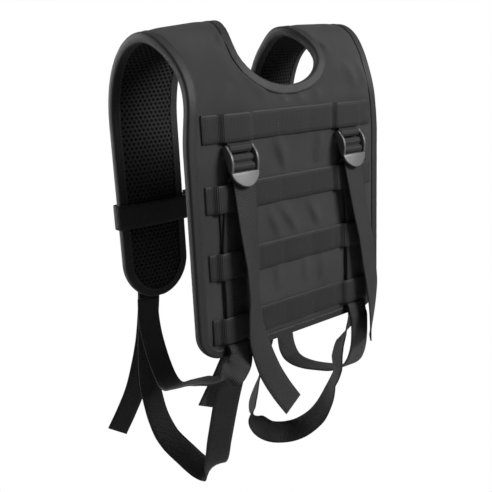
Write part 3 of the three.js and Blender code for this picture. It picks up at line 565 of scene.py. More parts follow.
# ---- Cords: the hanging straps. Points: x, y, z, and the width's turn from +X and tilt up, in degrees ----
ROUTES = {
    "left_tail": [
        (-0.070, -0.0704, -0.121, 0, 0),
        (-0.070, -0.0727, -0.134, 0, 0),
        (-0.0695, -0.075, -0.168, 12, 0),
        (-0.0675, -0.0758, -0.204, 26, 0),
        (-0.067, -0.076, -0.234, 30, 0),
        (-0.0675, -0.076, -0.258, 24, 0),
        (-0.065, -0.077, -0.280, 8, 0),
        (-0.056, -0.079, -0.310, 0, 12),
        (-0.044, -0.081, -0.334, 2, 24),
        (-0.030, -0.083, -0.356, 4, 28),
    ],
    "right_tail": [
        (0.070, -0.0704, -0.121, 0, 0),
        (0.071, -0.0727, -0.134, 2, 0),
        (0.078, -0.074, -0.172, 8, 0),
        (0.086, -0.0745, -0.204, 10, 0),
        (0.091, -0.075, -0.234, 10, 0),
        (0.095, -0.0755, -0.262, 16, 0),
        (0.095, -0.076, -0.290, 30, 0),
        (0.091, -0.077, -0.322, 44, 0),
    ],
    "left_pad_end_strap": [
        (-0.100, 0.066, -0.262, 0, 0),
        (-0.101, 0.0655, -0.282, 0, 0),
        (-0.101, 0.062, -0.304, 0, 0),
        (-0.100, 0.054, -0.328, 0, 0),
        (-0.101, 0.040, -0.345, 0, 0),
        (-0.103, 0.024, -0.349, 0, 2),
        (-0.105, 0.004, -0.340, 0, 4),
        (-0.108, -0.018, -0.329, 0, 4),
        (-0.112, -0.040, -0.318, -6, 6),
        (-0.113, -0.057, -0.312, -20, 6),
        (-0.102, -0.071, -0.308, -20, 4),
        (-0.088, -0.072, -0.301, -8, 0),
        (-0.0805, -0.069, -0.291, 0, 0),
        (-0.080, -0.0672, -0.2836, 0, 0),
        (-0.080, -0.0653, -0.2802, 0, 0),
    ],
    "left_side_strap": [
        (-0.080, -0.0627, -0.2802, 0, 0),
        (-0.080, -0.0643, -0.2834, 0, 0),
        (-0.0805, -0.0648, -0.2936, 0, 0),
        (-0.084, -0.0625, -0.304, -10, 0),
        (-0.0865, -0.057, -0.322, -26, 0),
        (-0.088, -0.049, -0.347, -32, 0),
        (-0.089, -0.036, -0.391, -32, 4),
        (-0.090, -0.027, -0.422, -28, 20),
        (-0.095, -0.012, -0.434, 0, 56),
        (-0.106, 0.006, -0.419, 34, 60),
        (-0.113, 0.023, -0.405, 40, 40),
        (-0.113, 0.039, -0.392, 20, 22),
        (-0.111, 0.052, -0.377, 6, 6),
        (-0.108, 0.063, -0.356, 0, 0),
        (-0.102, 0.072, -0.326, 0, 0),
        (-0.096, 0.076, -0.292, 0, 0),
        (-0.092, 0.0764, -0.264, 0, 0),
        (-0.092, 0.0759, -0.2494, 0, 0),
    ],
    "left_front_tail": [
        (-0.092, 0.078, -0.2492, 0, 0),
        (-0.092, 0.0792, -0.264, 0, 0),
        (-0.0935, 0.081, -0.285, 0, 0),
        (-0.098, 0.0825, -0.314, 0, 0),
        (-0.105, 0.084, -0.343, -4, -8),
        (-0.115, 0.0845, -0.370, -4, -18),
        (-0.128, 0.0845, -0.392, -4, -28),
        (-0.142, 0.0845, -0.412, -4, -30),
    ],
    "left_foot_end": [
        (-0.084, -0.0565, -0.2936, 0, 0),
        (-0.084, -0.052, -0.301, 0, 0),
        (-0.0835, -0.045, -0.311, 4, -4),
        (-0.086, -0.040, -0.322, 10, -16),
        (-0.094, -0.037, -0.336, 16, -30),
        (-0.103, -0.035, -0.350, 20, -30),
    ],
    "right_pad_end_strap": [
        (0.088, 0.066, -0.262, 0, 0),
        (0.090, 0.067, -0.300, 0, 0),
        (0.091, 0.066, -0.340, 0, 0),
        (0.088, 0.060, -0.366, 0, 0),
        (0.084, 0.048, -0.378, 0, 0),
        (0.083, 0.034, -0.382, 0, 0),
        (0.087, 0.018, -0.3835, 0, 0),
        (0.0925, 0.0, -0.382, 0, 0),
        (0.097, -0.020, -0.378, 0, 0),
        (0.097, -0.038, -0.368, -6, 0),
        (0.092, -0.053, -0.352, -4, 0),
        (0.086, -0.0645, -0.328, 0, 0),
        (0.082, -0.069, -0.300, 0, 0),
        (0.0805, -0.0684, -0.291, 0, 0),
        (0.080, -0.0672, -0.2836, 0, 0),
        (0.080, -0.0653, -0.2802, 0, 0),
    ],
    "right_side_strap": [
        (0.080, -0.0627, -0.2802, 0, 0),
        (0.080, -0.0643, -0.2834, 0, 0),
        (0.0795, -0.0648, -0.2936, 0, 0),
        (0.070, -0.0625, -0.309, 30, 0),
        (0.061, -0.060, -0.327, 60, 0),
        (0.065, -0.051, -0.352, 70, 0),
        (0.071, -0.041, -0.376, 50, 0),
        (0.072, -0.030, -0.402, 70, 6),
        (0.067, -0.018, -0.428, 80, 20),
        (0.057, -0.002, -0.447, 70, 44),
        (0.044, 0.014, -0.456, 50, 60),
        (0.026, 0.027, -0.453, 44, 70),
        (0.017, 0.040, -0.440, 60, 40),
        (0.022, 0.050, -0.426, 60, 10),
        (0.038, 0.060, -0.408, 50, 0),
        (0.056, 0.068, -0.388, 30, 0),
        (0.072, 0.074, -0.352, 10, 0),
        (0.086, 0.0764, -0.300, 0, 0),
        (0.092, 0.0764, -0.264, 0, 0),
        (0.092, 0.0759, -0.2494, 0, 0),
    ],
    "right_front_tail": [
        (0.092, 0.078, -0.2492, 0, 0),
        (0.092, 0.0792, -0.264, 0, 0),
        (0.094, 0.081, -0.285, 0, 0),
        (0.097, 0.082, -0.312, 4, 0),
        (0.102, 0.083, -0.344, 8, 0),
        (0.106, 0.084, -0.372, 8, 0),
    ],
}
# The real lengths in metres of two ends
# Ends too short to count as cords are cut pieces of webbing that hang
SHORT_ENDS = {"left_foot_end": 0.0665, "right_front_tail": 0.124}
# The straps that enter a lock: the lock's body and the route's point that it holds
HELD_BY_LOCK = {
    "left_tail": ("left_back_lock", 0),
    "right_tail": ("right_back_lock", 0),
    "left_side_strap": ("left_front_lock", -1),
    "right_side_strap": ("right_front_lock", -1),
    "left_front_tail": ("left_front_lock", 0),
    "right_front_tail": ("right_front_lock", 0),
}
BEND_DROP = 0.038
BEND_INWARD = 0.015
STEPS_PER_SPAN = 8


def lock_bend(name, route):
    """The lock that a strap enters, and where the strap passes from its lock to the yoke."""
    if name not in HELD_BY_LOCK:
        return None
    lock, end = HELD_BY_LOCK[name]
    start = Vector(route[end][:3])
    inward = math.copysign(BEND_INWARD, -start.y)
    return lock, start, start + Vector((0, inward, -BEND_DROP))


def strap_line(route):
    """The centres and width directions of a hanging strap."""
    spans = len(route) - 1
    count = spans * STEPS_PER_SPAN
    centres = catmull([point[:3] for point in route], count)
    at = np.linspace(0, spans, count + 1)
    turn, tilt = (
        np.radians(np.interp(at, np.arange(spans + 1), [point[k] for point in route])) for k in (3, 4)
    )
    across = np.stack([np.cos(turn) * np.cos(tilt), np.sin(turn) * np.cos(tilt), np.sin(tilt)], axis=1)
    return centres, across


def make_cords():
    for name, route in ROUTES.items():
        centres, across = strap_line(route)
        strap = ribbon(name + "_webbing", centres, across)
        finish_piece(strap, "root", "webbing", name, bend=lock_bend(name, route))
        if name in SHORT_ENDS:
            continue


make_cords()


# ---- The cloth's surface: x across, s up the back and over to the front, n out of the outer face ----
ARCH_POINTS = 400  # on each of the two curves over the shoulder


def bezier(points):
    a, b, c, d = (np.array(point, float) for point in points)
    t = np.linspace(0, 1, ARCH_POINTS)[:, None]
    return a * (1 - t) ** 3 + 3 * b * t * (1 - t) ** 2 + 3 * c * t**2 * (1 - t) + d * t**3


def smooth_share(value, low, high):
    share = np.clip((np.asarray(value, float) - low) / (high - low), 0, 1)
    return share * share * (3 - 2 * share)


def middle_line():
    """The middle of the padded cloth, as (y, z) points from the panel's foot to the pads' ends."""
    drop = CREST_Z - BEND_Z
    fall = CREST_Z - FRONT_Z
    back = [
        (BACK_Y, BEND_Z),
        (BACK_Y, BEND_Z + ARCH["back_rise"] * drop),
        (ARCH["back_reach"] * BACK_Y, CREST_Z),
        (0, CREST_Z),
    ]
    front = [
        (0, CREST_Z),
        (ARCH["front_reach"] * FRONT_Y, CREST_Z),
        (FRONT_Y, FRONT_Z + (1 - ARCH["front_fall"]) * fall),
        (FRONT_Y, FRONT_Z),
    ]
    foot = np.array([(BACK_Y, FOOT_Z)])
    end = np.array([(FRONT_Y, PAD_END_Z)])
    return np.vstack([foot, bezier(back), bezier(front)[1:], end])


LINE = middle_line()
LINE_S = distances(LINE)
LINE_T = unit(np.gradient(LINE, LINE_S, axis=0))
LINE_T[0] = (0, 1)
LINE_T[-1] = (0, -1)
PANEL_STRAIGHT = BEND_Z - FOOT_Z
CREST_S = LINE_S[ARCH_POINTS]
END_S = LINE_S[-1]
FRONT_S = LINE_S[-2]
NECK_S = PANEL_STRAIGHT + NECK_BOTTOM
NECK_TOP_S = NECK_S + NECK_DEPTH
ROUND_S = END_S - PAD_END_RISE
WAIST_S = NECK_S + WAIST_ABOVE_NECK
PAD_MIDDLE = (STRAP_OUTER + STRAP_INNER) / 2
PAD_HALF_WIDTH = (STRAP_OUTER - STRAP_INNER) / 2


def cloth(x, s, n):
    """Places in the frame of places on the cloth."""
    x, s, n = (np.asarray(value, float) for value in (x, s, n))
    y, z = (np.interp(s, LINE_S, LINE[:, k]) for k in (0, 1))
    ty, tz = (np.interp(s, LINE_S, LINE_T[:, k]) for k in (0, 1))
    along = np.clip((s - PANEL_STRAIGHT) / (FRONT_S - PANEL_STRAIGHT), 0, 1)
    slope = SHOULDER_SLOPE + (RIGHT_SLOPE - SHOULDER_SLOPE) * smooth_share(x, -SLOPE_CHANGE, SLOPE_CHANGE)
    drop = slope * (np.abs(x) - PAD_MIDDLE) * np.sin(np.pi * along) ** 2
    drawn = smooth_share(s, CREST_S + DRAWN_FROM, CREST_S + DRAWN_FULL)
    drawn = drawn * (1 - smooth_share(s, FRONT_S, FRONT_S + DRAWN_RELEASE))
    across = np.clip((x - STRAP_INNER) / (STRAP_OUTER - STRAP_INNER), 0, None)
    return np.stack([x - RIGHT_NARROWING * drawn * across, y - tz * n, z + ty * n - drop], axis=-1)


def outer_half(s):
    below = PANEL_HALF_WIDTH + (WAIST_HALF_WIDTH - PANEL_HALF_WIDTH) * smooth_share(
        s, WAIST_S - WAIST_TAPER, WAIST_S
    )
    above = WAIST_HALF_WIDTH + (STRAP_OUTER - WAIST_HALF_WIDTH) * smooth_share(s, WAIST_S, CREST_S)
    return np.where(s < WAIST_S, below, above)


def inner_edge(s):
    """A strap's inner edge, which closes in a little at the ridge."""
    away = np.clip((np.asarray(s, float) - CREST_S) / (CREST_S - NECK_TOP_S), -1, 1)
    return STRAP_INNER - NECK_CLOSING * np.cos(away * np.pi / 2) ** 2


def edges(s):
    """The right half's inner and outer edges at s."""
    outer = outer_half(s)
    corner = np.sqrt(np.maximum(PANEL_CORNER**2 - (PANEL_CORNER - s) ** 2, 0))
    outer = np.where(s < PANEL_CORNER, outer - PANEL_CORNER + corner, outer)
    lift = np.clip((NECK_TOP_S - s) / NECK_DEPTH, 0, 1)
    inner = np.where(s < NECK_S, 0, inner_edge(s) * np.sqrt(1 - lift**2))
    end = np.clip((s - ROUND_S) / PAD_END_RISE, 0, 1)
    half = PAD_HALF_WIDTH * np.sqrt(1 - end**2)
    rounded = s > ROUND_S
    return np.where(rounded, PAD_MIDDLE - half, inner), np.where(rounded, PAD_MIDDLE + half, outer)


def half_outline(pitch):
    """The right half's edge as (x, s), from the foot's middle round to the neck's middle."""
    turn = np.linspace(0, np.pi / 2, 12)
    foot_x = np.arange(0, PANEL_HALF_WIDTH - PANEL_CORNER, pitch)
    foot = np.stack([foot_x, np.zeros_like(foot_x)], axis=1)
    corner = np.stack(
        [
            outer_half(0) - PANEL_CORNER * (1 - np.sin(turn)),
            PANEL_CORNER * (1 - np.cos(turn)),
        ],
        axis=1,
    )
    up_s = np.arange(PANEL_CORNER + pitch, ROUND_S, pitch)
    up = np.stack([outer_half(up_s), up_s], axis=1)
    round_turn = np.linspace(0, np.pi, 40)
    end = np.stack(
        [PAD_MIDDLE + PAD_HALF_WIDTH * np.cos(round_turn), ROUND_S + PAD_END_RISE * np.sin(round_turn)],
        axis=1,
    )
    down_s = np.arange(ROUND_S - pitch, NECK_TOP_S + pitch, -pitch)
    down = np.stack([inner_edge(down_s), down_s], axis=1)
    neck_turn = np.linspace(np.pi / 2, 0, 24)
    neck = np.stack(
        [STRAP_INNER * np.sin(neck_turn), NECK_TOP_S - NECK_DEPTH * np.cos(neck_turn)],
        axis=1,
    )
    return np.vstack([foot, corner, up, end, down, neck])


OUTLINE = half_outline(pitch=0.003)


def edge_distance(x, s):
    """How far places on the cloth are from its edge."""
    points = np.stack([np.abs(x), s], axis=-1).reshape(-1, 2)
    near = np.full(len(points), 1.0)
    for edge_point in OUTLINE:
        near = np.minimum(near, np.hypot(points[:, 0] - edge_point[0], points[:, 1] - edge_point[1]))
    return near.reshape(np.shape(x))


def pad_half(distance):
    """Half the pad's thickness at a distance from its edge."""
    share = np.clip((np.asarray(distance, float) - DOME_START) / (DOME_END - DOME_START), 0, 1)
    return EDGE_HALF + (HALF - EDGE_HALF) * np.sin(share * np.pi / 2)


def yoke_grid(step, columns, inset):
    """Rows of places over the whole yoke: (x, s) per point and quads; both halves share the middle."""
    turn = np.linspace(0, np.pi / 2, 9)
    foot = PANEL_CORNER * (1 - np.cos(turn))
    neck = NECK_TOP_S - NECK_DEPTH * np.cos(turn)
    end = ROUND_S + PAD_END_RISE * np.sin(np.linspace(0, 1.50, 12))
    stations = [foot]
    for low, high in ((foot[-1], neck[0]), (neck[-1], ROUND_S)):
        count = max(int(round((high - low) / step)), 1)
        stations.append(np.linspace(low, high, count + 1)[1:])
        if low == foot[-1]:
            stations.append(neck[1:])
    stations.append(end[1:])
    s = np.concatenate(stations)
    inner, outer = edges(s)
    middle = s <= NECK_S + 1e-9
    inner = np.where(middle, 0, inner + inset)
    outer = outer - inset
    s = np.where(s < inset, inset, s)
    share = np.linspace(0, 1, columns + 1)
    right = inner[:, None] + (outer - inner)[:, None] * share[None, :]
    places = []
    index = np.zeros((2, len(s), columns + 1), int)
    for side, sign in ((0, 1), (1, -1)):
        for i in range(len(s)):
            for j in range(columns + 1):
                if side and middle[i] and j == 0:
                    index[1, i, 0] = index[0, i, 0]
                    continue
                index[side, i, j] = len(places)
                places.append((sign * right[i, j], s[i]))
    faces = []
    for side in (0, 1):
        grid = index[side]
        for i in range(len(s) - 1):
            for j in range(columns):
                quad = (grid[i, j], grid[i, j + 1], grid[i + 1, j + 1], grid[i + 1, j])
                faces.append(tuple(int(k) for k in (quad if side == 0 else quad[::-1])))
    return np.array(places), faces


# ---- Wrinkles of the outer cloth: (x, s) to (x, s), height and width, in metres ----
FOLDS = [
    ((-0.024, 0.200), (-0.012, 0.168), 0.0024, 0.0070),
    ((0.034, 0.200), (0.027, 0.170), 0.0024, 0.0065),
    ((-0.024, 0.138), (0.002, 0.104), 0.0021, 0.0070),
    ((0.016, 0.134), (0.031, 0.106), 0.0021, 0.0060),
    ((-0.037, 0.136), (-0.020, 0.100), 0.0016, 0.0070),
    ((0.033, 0.077), (0.033, 0.045), 0.0018, 0.0055),
    ((0.010, 0.080), (0.010, 0.050), 0.0013, 0.0070),
    ((-0.026, 0.080), (-0.026, 0.050), 0.0013, 0.0070),
    ((-0.011, 0.242), (-0.011, 0.228), 0.0015, 0.0050),
    ((0.009, 0.242), (0.009, 0.228), 0.0015, 0.0050),
    ((0.032, 0.242), (0.032, 0.228), 0.0015, 0.0050),
    ((0.075, 0.262), (0.085, 0.240), 0.0024, 0.0070),
    ((0.058, 0.288), (0.059, 0.272), 0.0024, 0.0070),
    ((0.094, 0.262), (0.104, 0.236), 0.0016, 0.0060),
    ((-0.056, 0.262), (-0.030, 0.236), 0.0018, 0.0070),
    ((-0.050, 0.300), (-0.066, 0.286), 0.0016, 0.0060),
    ((-0.070, 0.250), (-0.096, 0.232), 0.0012, 0.0070),
]
FOLD_RISE = 2.4  # the cloth settles to well below its starting height
STEEP_SIDE = 0.40
GENTLE_SIDE = 0.95
STRAP_LANE = (0.054, 0.096)  # where straps lie on the panel, from its middle
CLOTH_ROOM = 0.0056  # how far the outer cloth may stand off the foam
CLOTH_DIP = 0.0006
SEWN_EDGE = (0.006, 0.010)  # from the edge: held up to the first, free from the second
SEWN_MARGIN = 0.001  # held this far round each row
CLOTH_SLIDE = 0.002  # how far it may creep along the foam
CLOTH_INSET = 0.0012  # from the yoke's edge, under the binding
CLOTH_THICK = 0.0010
LINING_THICK = 0.0018
LINING_PUFF = 0.0006
FOAM_INSET = 0.0030
FOAM_BELOW = 0.0020  # how far the foam's faces are under the cloth's outer face
SETTLING = {"pressure": 1.2, "spare": 0.035, "last_frame": 24}


def fold_height(x, s):
    height = np.zeros(len(x))
    for start, end, rise, width in FOLDS:
        start, end = np.array(start), np.array(end)
        run = end - start
        point = np.stack([x, s], axis=1) - start
        share = point @ run / (run @ run)
        off = (point[:, 0] * run[1] - point[:, 1] * run[0]) / np.linalg.norm(run)
        reach = np.where(off > 0, STEEP_SIDE, GENTLE_SIDE) * width
        taper = np.sin(np.pi * np.clip(share, 0, 1)) ** 0.7 * ((share > 0) & (share < 1))
        height += FOLD_RISE * rise * taper * np.exp(-((np.abs(off) / reach) ** 1.5))
    return height


def cloth_held(x, s, distance):
    """1 where the outer cloth is sewn down: under the binding and under the webbing rows."""
    held = 1 - smooth_share(distance, *SEWN_EDGE)
    for low, high in ROWS:
        foot, top = low.z - FOOT_Z - SEWN_MARGIN, high.z - FOOT_Z + SEWN_MARGIN
        inside = (s > foot) & (s < top) & (np.abs(x) < high.x + SEWN_MARGIN)
        held = np.where(inside, 1.0, held)
    return held


def cloth_room(x, s, distance):
    """How far the outer cloth may rise: nothing under the straps that lie on it."""
    away = np.maximum(STRAP_LANE[0] - np.abs(x), np.abs(x) - STRAP_LANE[1])
    lane = np.where(s < PANEL_STRAIGHT, smooth_share(away, 0, 0.010), 1.0)
    return CLOTH_ROOM * lane * smooth_share(distance, 0.004, 0.016)


def settle(piece, held, pressure, spare, last_frame):
    """Runs the cloth with a little pressure under it; returns where its points come to rest."""
    group = piece.vertex_groups.new(name="held")
    for index, weight in enumerate(held):
        if weight > 0.01:
            group.add([index], float(weight), "REPLACE")
    cloth_modifier = piece.modifiers.new("settle", "CLOTH")
    settings = cloth_modifier.settings
    settings.vertex_group_mass = "held"
    settings.quality = 5
    settings.mass = 0.25
    settings.tension_stiffness = 20
    settings.compression_stiffness = 20
    settings.shear_stiffness = 6
    settings.bending_stiffness = 0.25
    settings.effector_weights.gravity = 0
    settings.use_pressure = True
    settings.uniform_pressure_force = pressure
    settings.shrink_min = -spare
    cloth_modifier.point_cache.frame_end = last_frame
    scene = bpy.context.scene
    for number in range(1, last_frame + 1):
        scene.frame_set(number)
    depsgraph = bpy.context.evaluated_depsgraph_get()
    settled = piece.evaluated_get(depsgraph).data
    found = np.array([vertex.co for vertex in settled.vertices])
    piece.modifiers.remove(cloth_modifier)
    piece.vertex_groups.clear()
    scene.frame_set(1)
    return found


def vertex_normals(piece):
    return np.array([vertex.normal for vertex in piece.data.vertices])


def face_panel(piece, x, s, way):
    """Turns an open sheet so that its face at the panel's middle looks the given way along Y."""
    at_middle = np.argmin(np.abs(x) + np.abs(s - PANEL_STRAIGHT / 2))
    if vertex_normals(piece)[at_middle][1] * way < 0:
        piece.data.flip_normals()


def set_points(piece, points):
    piece.data.vertices.foreach_set("co", np.asarray(points, np.float32).ravel())
    piece.data.update()


def solid_skin(piece, thick):
    """Gives an open sheet its thickness towards the foam, and a finer surface."""
    solidify = piece.modifiers.new("thickness", "SOLIDIFY")
    solidify.thickness = thick
    solidify.offset = -1
    finer = piece.modifiers.new("finer", "SUBSURF")
    finer.levels = 1
    finer.render_levels = 1
    apply_modifiers(piece)
    outward(piece)
    for polygon in piece.data.polygons:
        polygon.use_smooth = True


def make_outer_cloth():
    places, faces = yoke_grid(0.0034, 34, CLOTH_INSET)
    x, s = places[:, 0], places[:, 1]
    distance = edge_distance(x, s)
    base = cloth(x, s, pad_half(distance))
    skin = new_piece("yoke_outer_cloth", base, faces, CLOTH, places)
    face_panel(skin, x, s, -1)
    normals = vertex_normals(skin)
    room = cloth_room(x, s, distance)
    rise = np.zeros(len(x))
    slide = np.zeros_like(base)
    moved = settle(skin, cloth_held(x, s, distance), **SETTLING) - base
    rise = np.sum(moved * normals, axis=1)
    slide = moved - normals * rise[:, None]
    length = np.linalg.norm(slide, axis=1, keepdims=True)
    slide = slide * np.minimum(1, CLOTH_SLIDE / np.maximum(length, 1e-9))
    rise = np.clip(rise, -CLOTH_DIP, None) + fold_height(x, s) * smooth_share(distance, 0.006, 0.014)
    rise = room * np.tanh(rise / np.maximum(room, 1e-6)) * (room > 1e-6)
    set_points(skin, base + normals * rise[:, None] + slide * (room / CLOTH_ROOM)[:, None])
    solid_skin(skin, CLOTH_THICK)
    finish_piece(
        skin,
        "root",
        "pack_cloth",
        "back_panel_outer_fabric",
        "left_strap_outer_fabric",
        "right_strap_outer_fabric",
    )


def make_lining():
    places, faces = yoke_grid(0.006, 20, CLOTH_INSET)
    x, s = places[:, 0], places[:, 1]
    distance = edge_distance(x, s)
    soft = np.array([noise.noise(Vector((a * 22, b * 22, 4.0))) for a, b in places])
    lift = LINING_PUFF * soft * smooth_share(distance, 0.008, 0.020)
    surface = cloth(x, s, -pad_half(distance) - lift)
    skin = new_piece("yoke_mesh_lining", surface, [face[::-1] for face in faces], SPACER, places)
    face_panel(skin, x, s, 1)
    solid_skin(skin, LINING_THICK)
    finish_piece(
        skin,
        "root",
        "spacer_mesh",
        "back_panel_mesh_lining",
        "left_strap_mesh_lining",
        "right_strap_mesh_lining",
    )


def make_foam():
    """The foam between the two cloths, as one sheet with both faces and its rim."""
    places, faces = yoke_grid(0.009, 12, FOAM_INSET)
    x, s = places[:, 0], places[:, 1]
    half = pad_half(edge_distance(x, s)) - FOAM_BELOW
    count = len(places)
    points = np.vstack([cloth(x, s, half), cloth(x, s, -half)])
    sides = [(a, b) for face in faces for a, b in zip(face, face[1:] + face[:1])]
    known = set(sides)
    rim = [(b, a, a + count, b + count) for a, b in sides if (b, a) not in known]
    under = [tuple(k + count for k in face[::-1]) for face in faces]
    foam = new_piece("yoke_foam", points, faces + under + rim, FOAM, np.vstack([places, places]))
    outward(foam)
    finish_piece(foam, "root", "foam", "back_panel_foam", "left_strap_foam", "right_strap_foam")


make_outer_cloth()
make_lining()
make_foam()


# ---- Edge binding: one tape folded over the yoke's whole edge ----
BINDING_SHARES = np.array([1.0, 0.94, 0.7, 0.45, 0.2, 0.05])  # of the tape's width, from its inner edge


def binding_section():
    """The folded tape's closed outline, as (distance in from the edge, n)."""
    reach = BINDING_SHARES * BINDING_WIDTH
    face = [(d, float(pad_half(d)) + BINDING_THICK) for d in reach]
    face[0] = (reach[0], float(pad_half(reach[0])) + 0.35 * BINDING_THICK)
    nose = EDGE_HALF + 0.4 * BINDING_THICK
    bend = [(-BINDING_THICK * math.cos(a), nose * math.sin(a)) for a in np.linspace(1.15, -1.15, 7)]
    under = [(d, -n) for d, n in face[::-1]]
    inside = [(d, float(pad_half(d)) - 0.0002) for d in reach[[1, 3, 5]]]
    inner = [(d, -n) for d, n in inside] + inside[::-1]
    return face + bend + under + inner


def whole_outline():
    left = OUTLINE[::-1] * np.array([-1, 1])
    return np.vstack([OUTLINE[:-1], left[:-1]])


def inward_normals(outline):
    ahead = unit(np.roll(outline, -1, axis=0) - np.roll(outline, 1, axis=0))
    return np.stack([-ahead[:, 1], ahead[:, 0]], axis=1)


GATHER_REACH = 0.045  # how far along the cloth from the neck's top the gathers fade
GATHER_SIDE = 0.012  # how far past the straps' inner edges they count
GATHER_EXTRA = 2.4  # how much stronger than on a straight edge
RIPPLE = 0.09  # share of the tape's width
RIPPLES_PER_METRE = 75
PUFF = 0.00026
PUFFS_PER_METRE = 160


def tape_gathers(x, s, along):
    """How the tape's width and height change along the edge: it is gathered round the neck."""
    at_neck = math.exp(-(((s - NECK_TOP_S) / GATHER_REACH) ** 2)) * (abs(x) < STRAP_INNER + GATHER_SIDE)
    gathered = 1 + GATHER_EXTRA * at_neck
    ripple = RIPPLE * gathered * noise.noise(Vector((along * RIPPLES_PER_METRE, 0.0, 7.0)))
    puff = PUFF * gathered * noise.noise(Vector((along * PUFFS_PER_METRE, 3.0, 1.0)))
    return ripple, puff


def make_binding():
    outline = whole_outline()
    inward = inward_normals(outline)
    section = binding_section()
    run = distances(outline)
    width = np.concatenate([[0], np.cumsum(np.hypot(*np.diff(np.array(section), axis=0).T))])
    points = []
    surface = []
    for (x, s), (nx, ns), along in zip(outline, inward, run):
        ripple, puff = tape_gathers(x, s, along)
        for (d, n), across in zip(section, width):
            wide = d * (1 + ripple) if d > 0 else d
            out = n + math.copysign(puff, n)
            points.append(cloth(x + nx * wide, s + ns * wide, out))
            surface.append((across - width[-1] / 2, along))
    faces = joined_rings(len(outline), len(section), closed=True)
    tape = new_piece("yoke_edge_binding", points, faces, TAPE, surface)
    outward(tape)
    finish_piece(
        tape,
        "root",
        "binding_tape",
        "back_panel_edge_binding",
        "neck_edge_binding",
        "left_strap_edge_binding",
        "right_strap_edge_binding",
    )


STITCH_PITCH = 0.0034
BINDING_SEAM = 0.0068  # the seam's distance from the edge


def make_binding_seams():
    """The seam along the binding, on both faces of the yoke."""
    outline = whole_outline()
    inward = inward_normals(outline)
    run = distances(outline)
    at = np.arange(0, run[-1], STITCH_PITCH)
    x, s, nx, ns = (np.interp(at, run, column) for column in (*outline.T, *inward.T))
    for side, name in ((1, "outer"), (-1, "inner")):
        stack = float(pad_half(BINDING_SEAM)) + BINDING_THICK + 0.0001
        puff = np.array([tape_gathers(a, b, c)[1] for a, b, c in zip(x, s, at)])
        height = side * (stack + puff)
        seam_x, seam_s = x + nx * BINDING_SEAM, s + ns * BINDING_SEAM
        middle = cloth(seam_x, seam_s, height)
        out = unit(cloth(seam_x, seam_s, height + side * 0.001) - middle)
        ahead = unit(np.roll(middle, -1, axis=0) - middle)
        stitches(f"binding_seam_{name}", list(zip(middle, ahead, out)))


make_binding()
make_binding_seams()


# ---- Webbing rows ----
ROW_SUNK = 0.0002  # how far the sewn webbing presses into the cloth
ROW_RAISED_N = BACK_Y - ROWS[0][0].y - WEBBING_THICK / 2
ROW_SEAMS = (-0.101, -0.050, -0.019, 0.019, 0.050, 0.101)
SEAM_HALF_GAP = 0.0009  # each seam is two lines of stitches
ROW_STITCH_PITCH = 0.0029
LOCK_X = abs(HINGES["left_back_lock_tilt"].x)
LOAD_X = (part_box("left_pass_strap")[0].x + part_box("left_pass_strap")[1].x) / -2
ROW_BEND = 0.006
ROW_PUFF = 0.0006
ROW_CLEARANCE = 0.0015


def row_middle(number):
    low, high = ROWS[number]
    return (low.z + high.z) / 2


def row_height(x, number):
    """A row's height over the panel: raised over the straps, puffed a little between stitch lines."""
    x = np.asarray(x, float)
    s = row_middle(number) - FOOT_Z
    reach = WEBBING_WIDTH / 2 + ROW_CLEARANCE
    near = (LOCK_X if number < 2 else LOAD_X) - reach
    far = (LOCK_X if number < 1 else LOAD_X) + reach
    distance = np.abs(x)
    flat = pad_half(edge_distance(x, np.full_like(x, s))) + WEBBING_THICK / 2 - ROW_SUNK
    rise = smooth_share(distance, near - ROW_BEND, near) * (1 - smooth_share(distance, far, far + ROW_BEND))
    puff = np.abs(np.sin(np.pi * (distance - ROW_SEAMS[3]) / (2 * ROW_SEAMS[3])))
    puff = ROW_PUFF * puff * (1 - rise) * (distance < ROW_SEAMS[-1])
    return flat + (ROW_RAISED_N - flat) * rise + puff


def make_rows():
    for number, (low, high) in enumerate(ROWS):
        x = np.linspace(low.x, high.x, 160)
        n = row_height(x, number)
        centres = np.stack([x, BACK_Y - n, np.full_like(x, row_middle(number))], axis=1)
        across = np.tile((0.0, 0.0, 1.0), (len(x), 1))
        row = ribbon(f"row_{number + 1}_webbing", centres, across)
        finish_piece(row, "root", "webbing", f"webbing_row_{number + 1}")


def make_row_seams():
    """The rows' upright seams, which divide them into loops, and a seam at each end."""
    out = np.array((0.0, -1.0, 0.0))
    up = np.array((0.0, 0.0, 1.0))
    for number, (low, high) in enumerate(ROWS):
        runs = []
        for x in ROW_SEAMS:
            n = row_height([x], number)[0] + WEBBING_THICK / 2
            for line in (-SEAM_HALF_GAP, SEAM_HALF_GAP):
                for z in np.arange(low.z + 0.002, high.z - 0.001, ROW_STITCH_PITCH):
                    runs.append((np.array((x + line, BACK_Y - n, z)), up, out))
        stitches(f"row_{number + 1}_seams", runs)


make_rows()
make_row_seams()


# ---- Ladder locks. In a lock's own frame x is across, t runs down from the hinge bar, h is out ----
BACK_TILT = math.radians(14)
FRONT_TILT = math.radians(8)
BAR_RADIUS = 0.0020
MIDDLE_BAR = 0.009
LOWER_BAR = 0.0165
TAB_START = 0.0215
TAB_END = 0.0355
TAB_TIP = 0.0065
TAB_SHOULDER = 0.007
TAB_LOW = 0.0012
TAB_THICK = 0.0026
LOCK_INNER = WEBBING_WIDTH / 2 + 0.0004
LOCK_WALL = 0.0028
LOCK_BOW = 0.007
LOCK_RIM = 0.0014  # plastic round the hinge bar
WALL_BEVEL = 0.0007
TAB_BEVEL = 0.0009
TAB_LIFT = 0.0012  # how far the tab's tip curls out
TAB_ROUND = 0.0015
TURN_BEYOND = 0.0024  # how far the gripped webbing reaches under the tab
TURN_DIP = 0.0011  # its height between the two bars
TURN_END = -0.0013  # its height where the tail starts
LOOP_PINCH = -0.0054  # where an anchor loop's layers meet above the hinge bar
LOOP_SEWN = 0.022
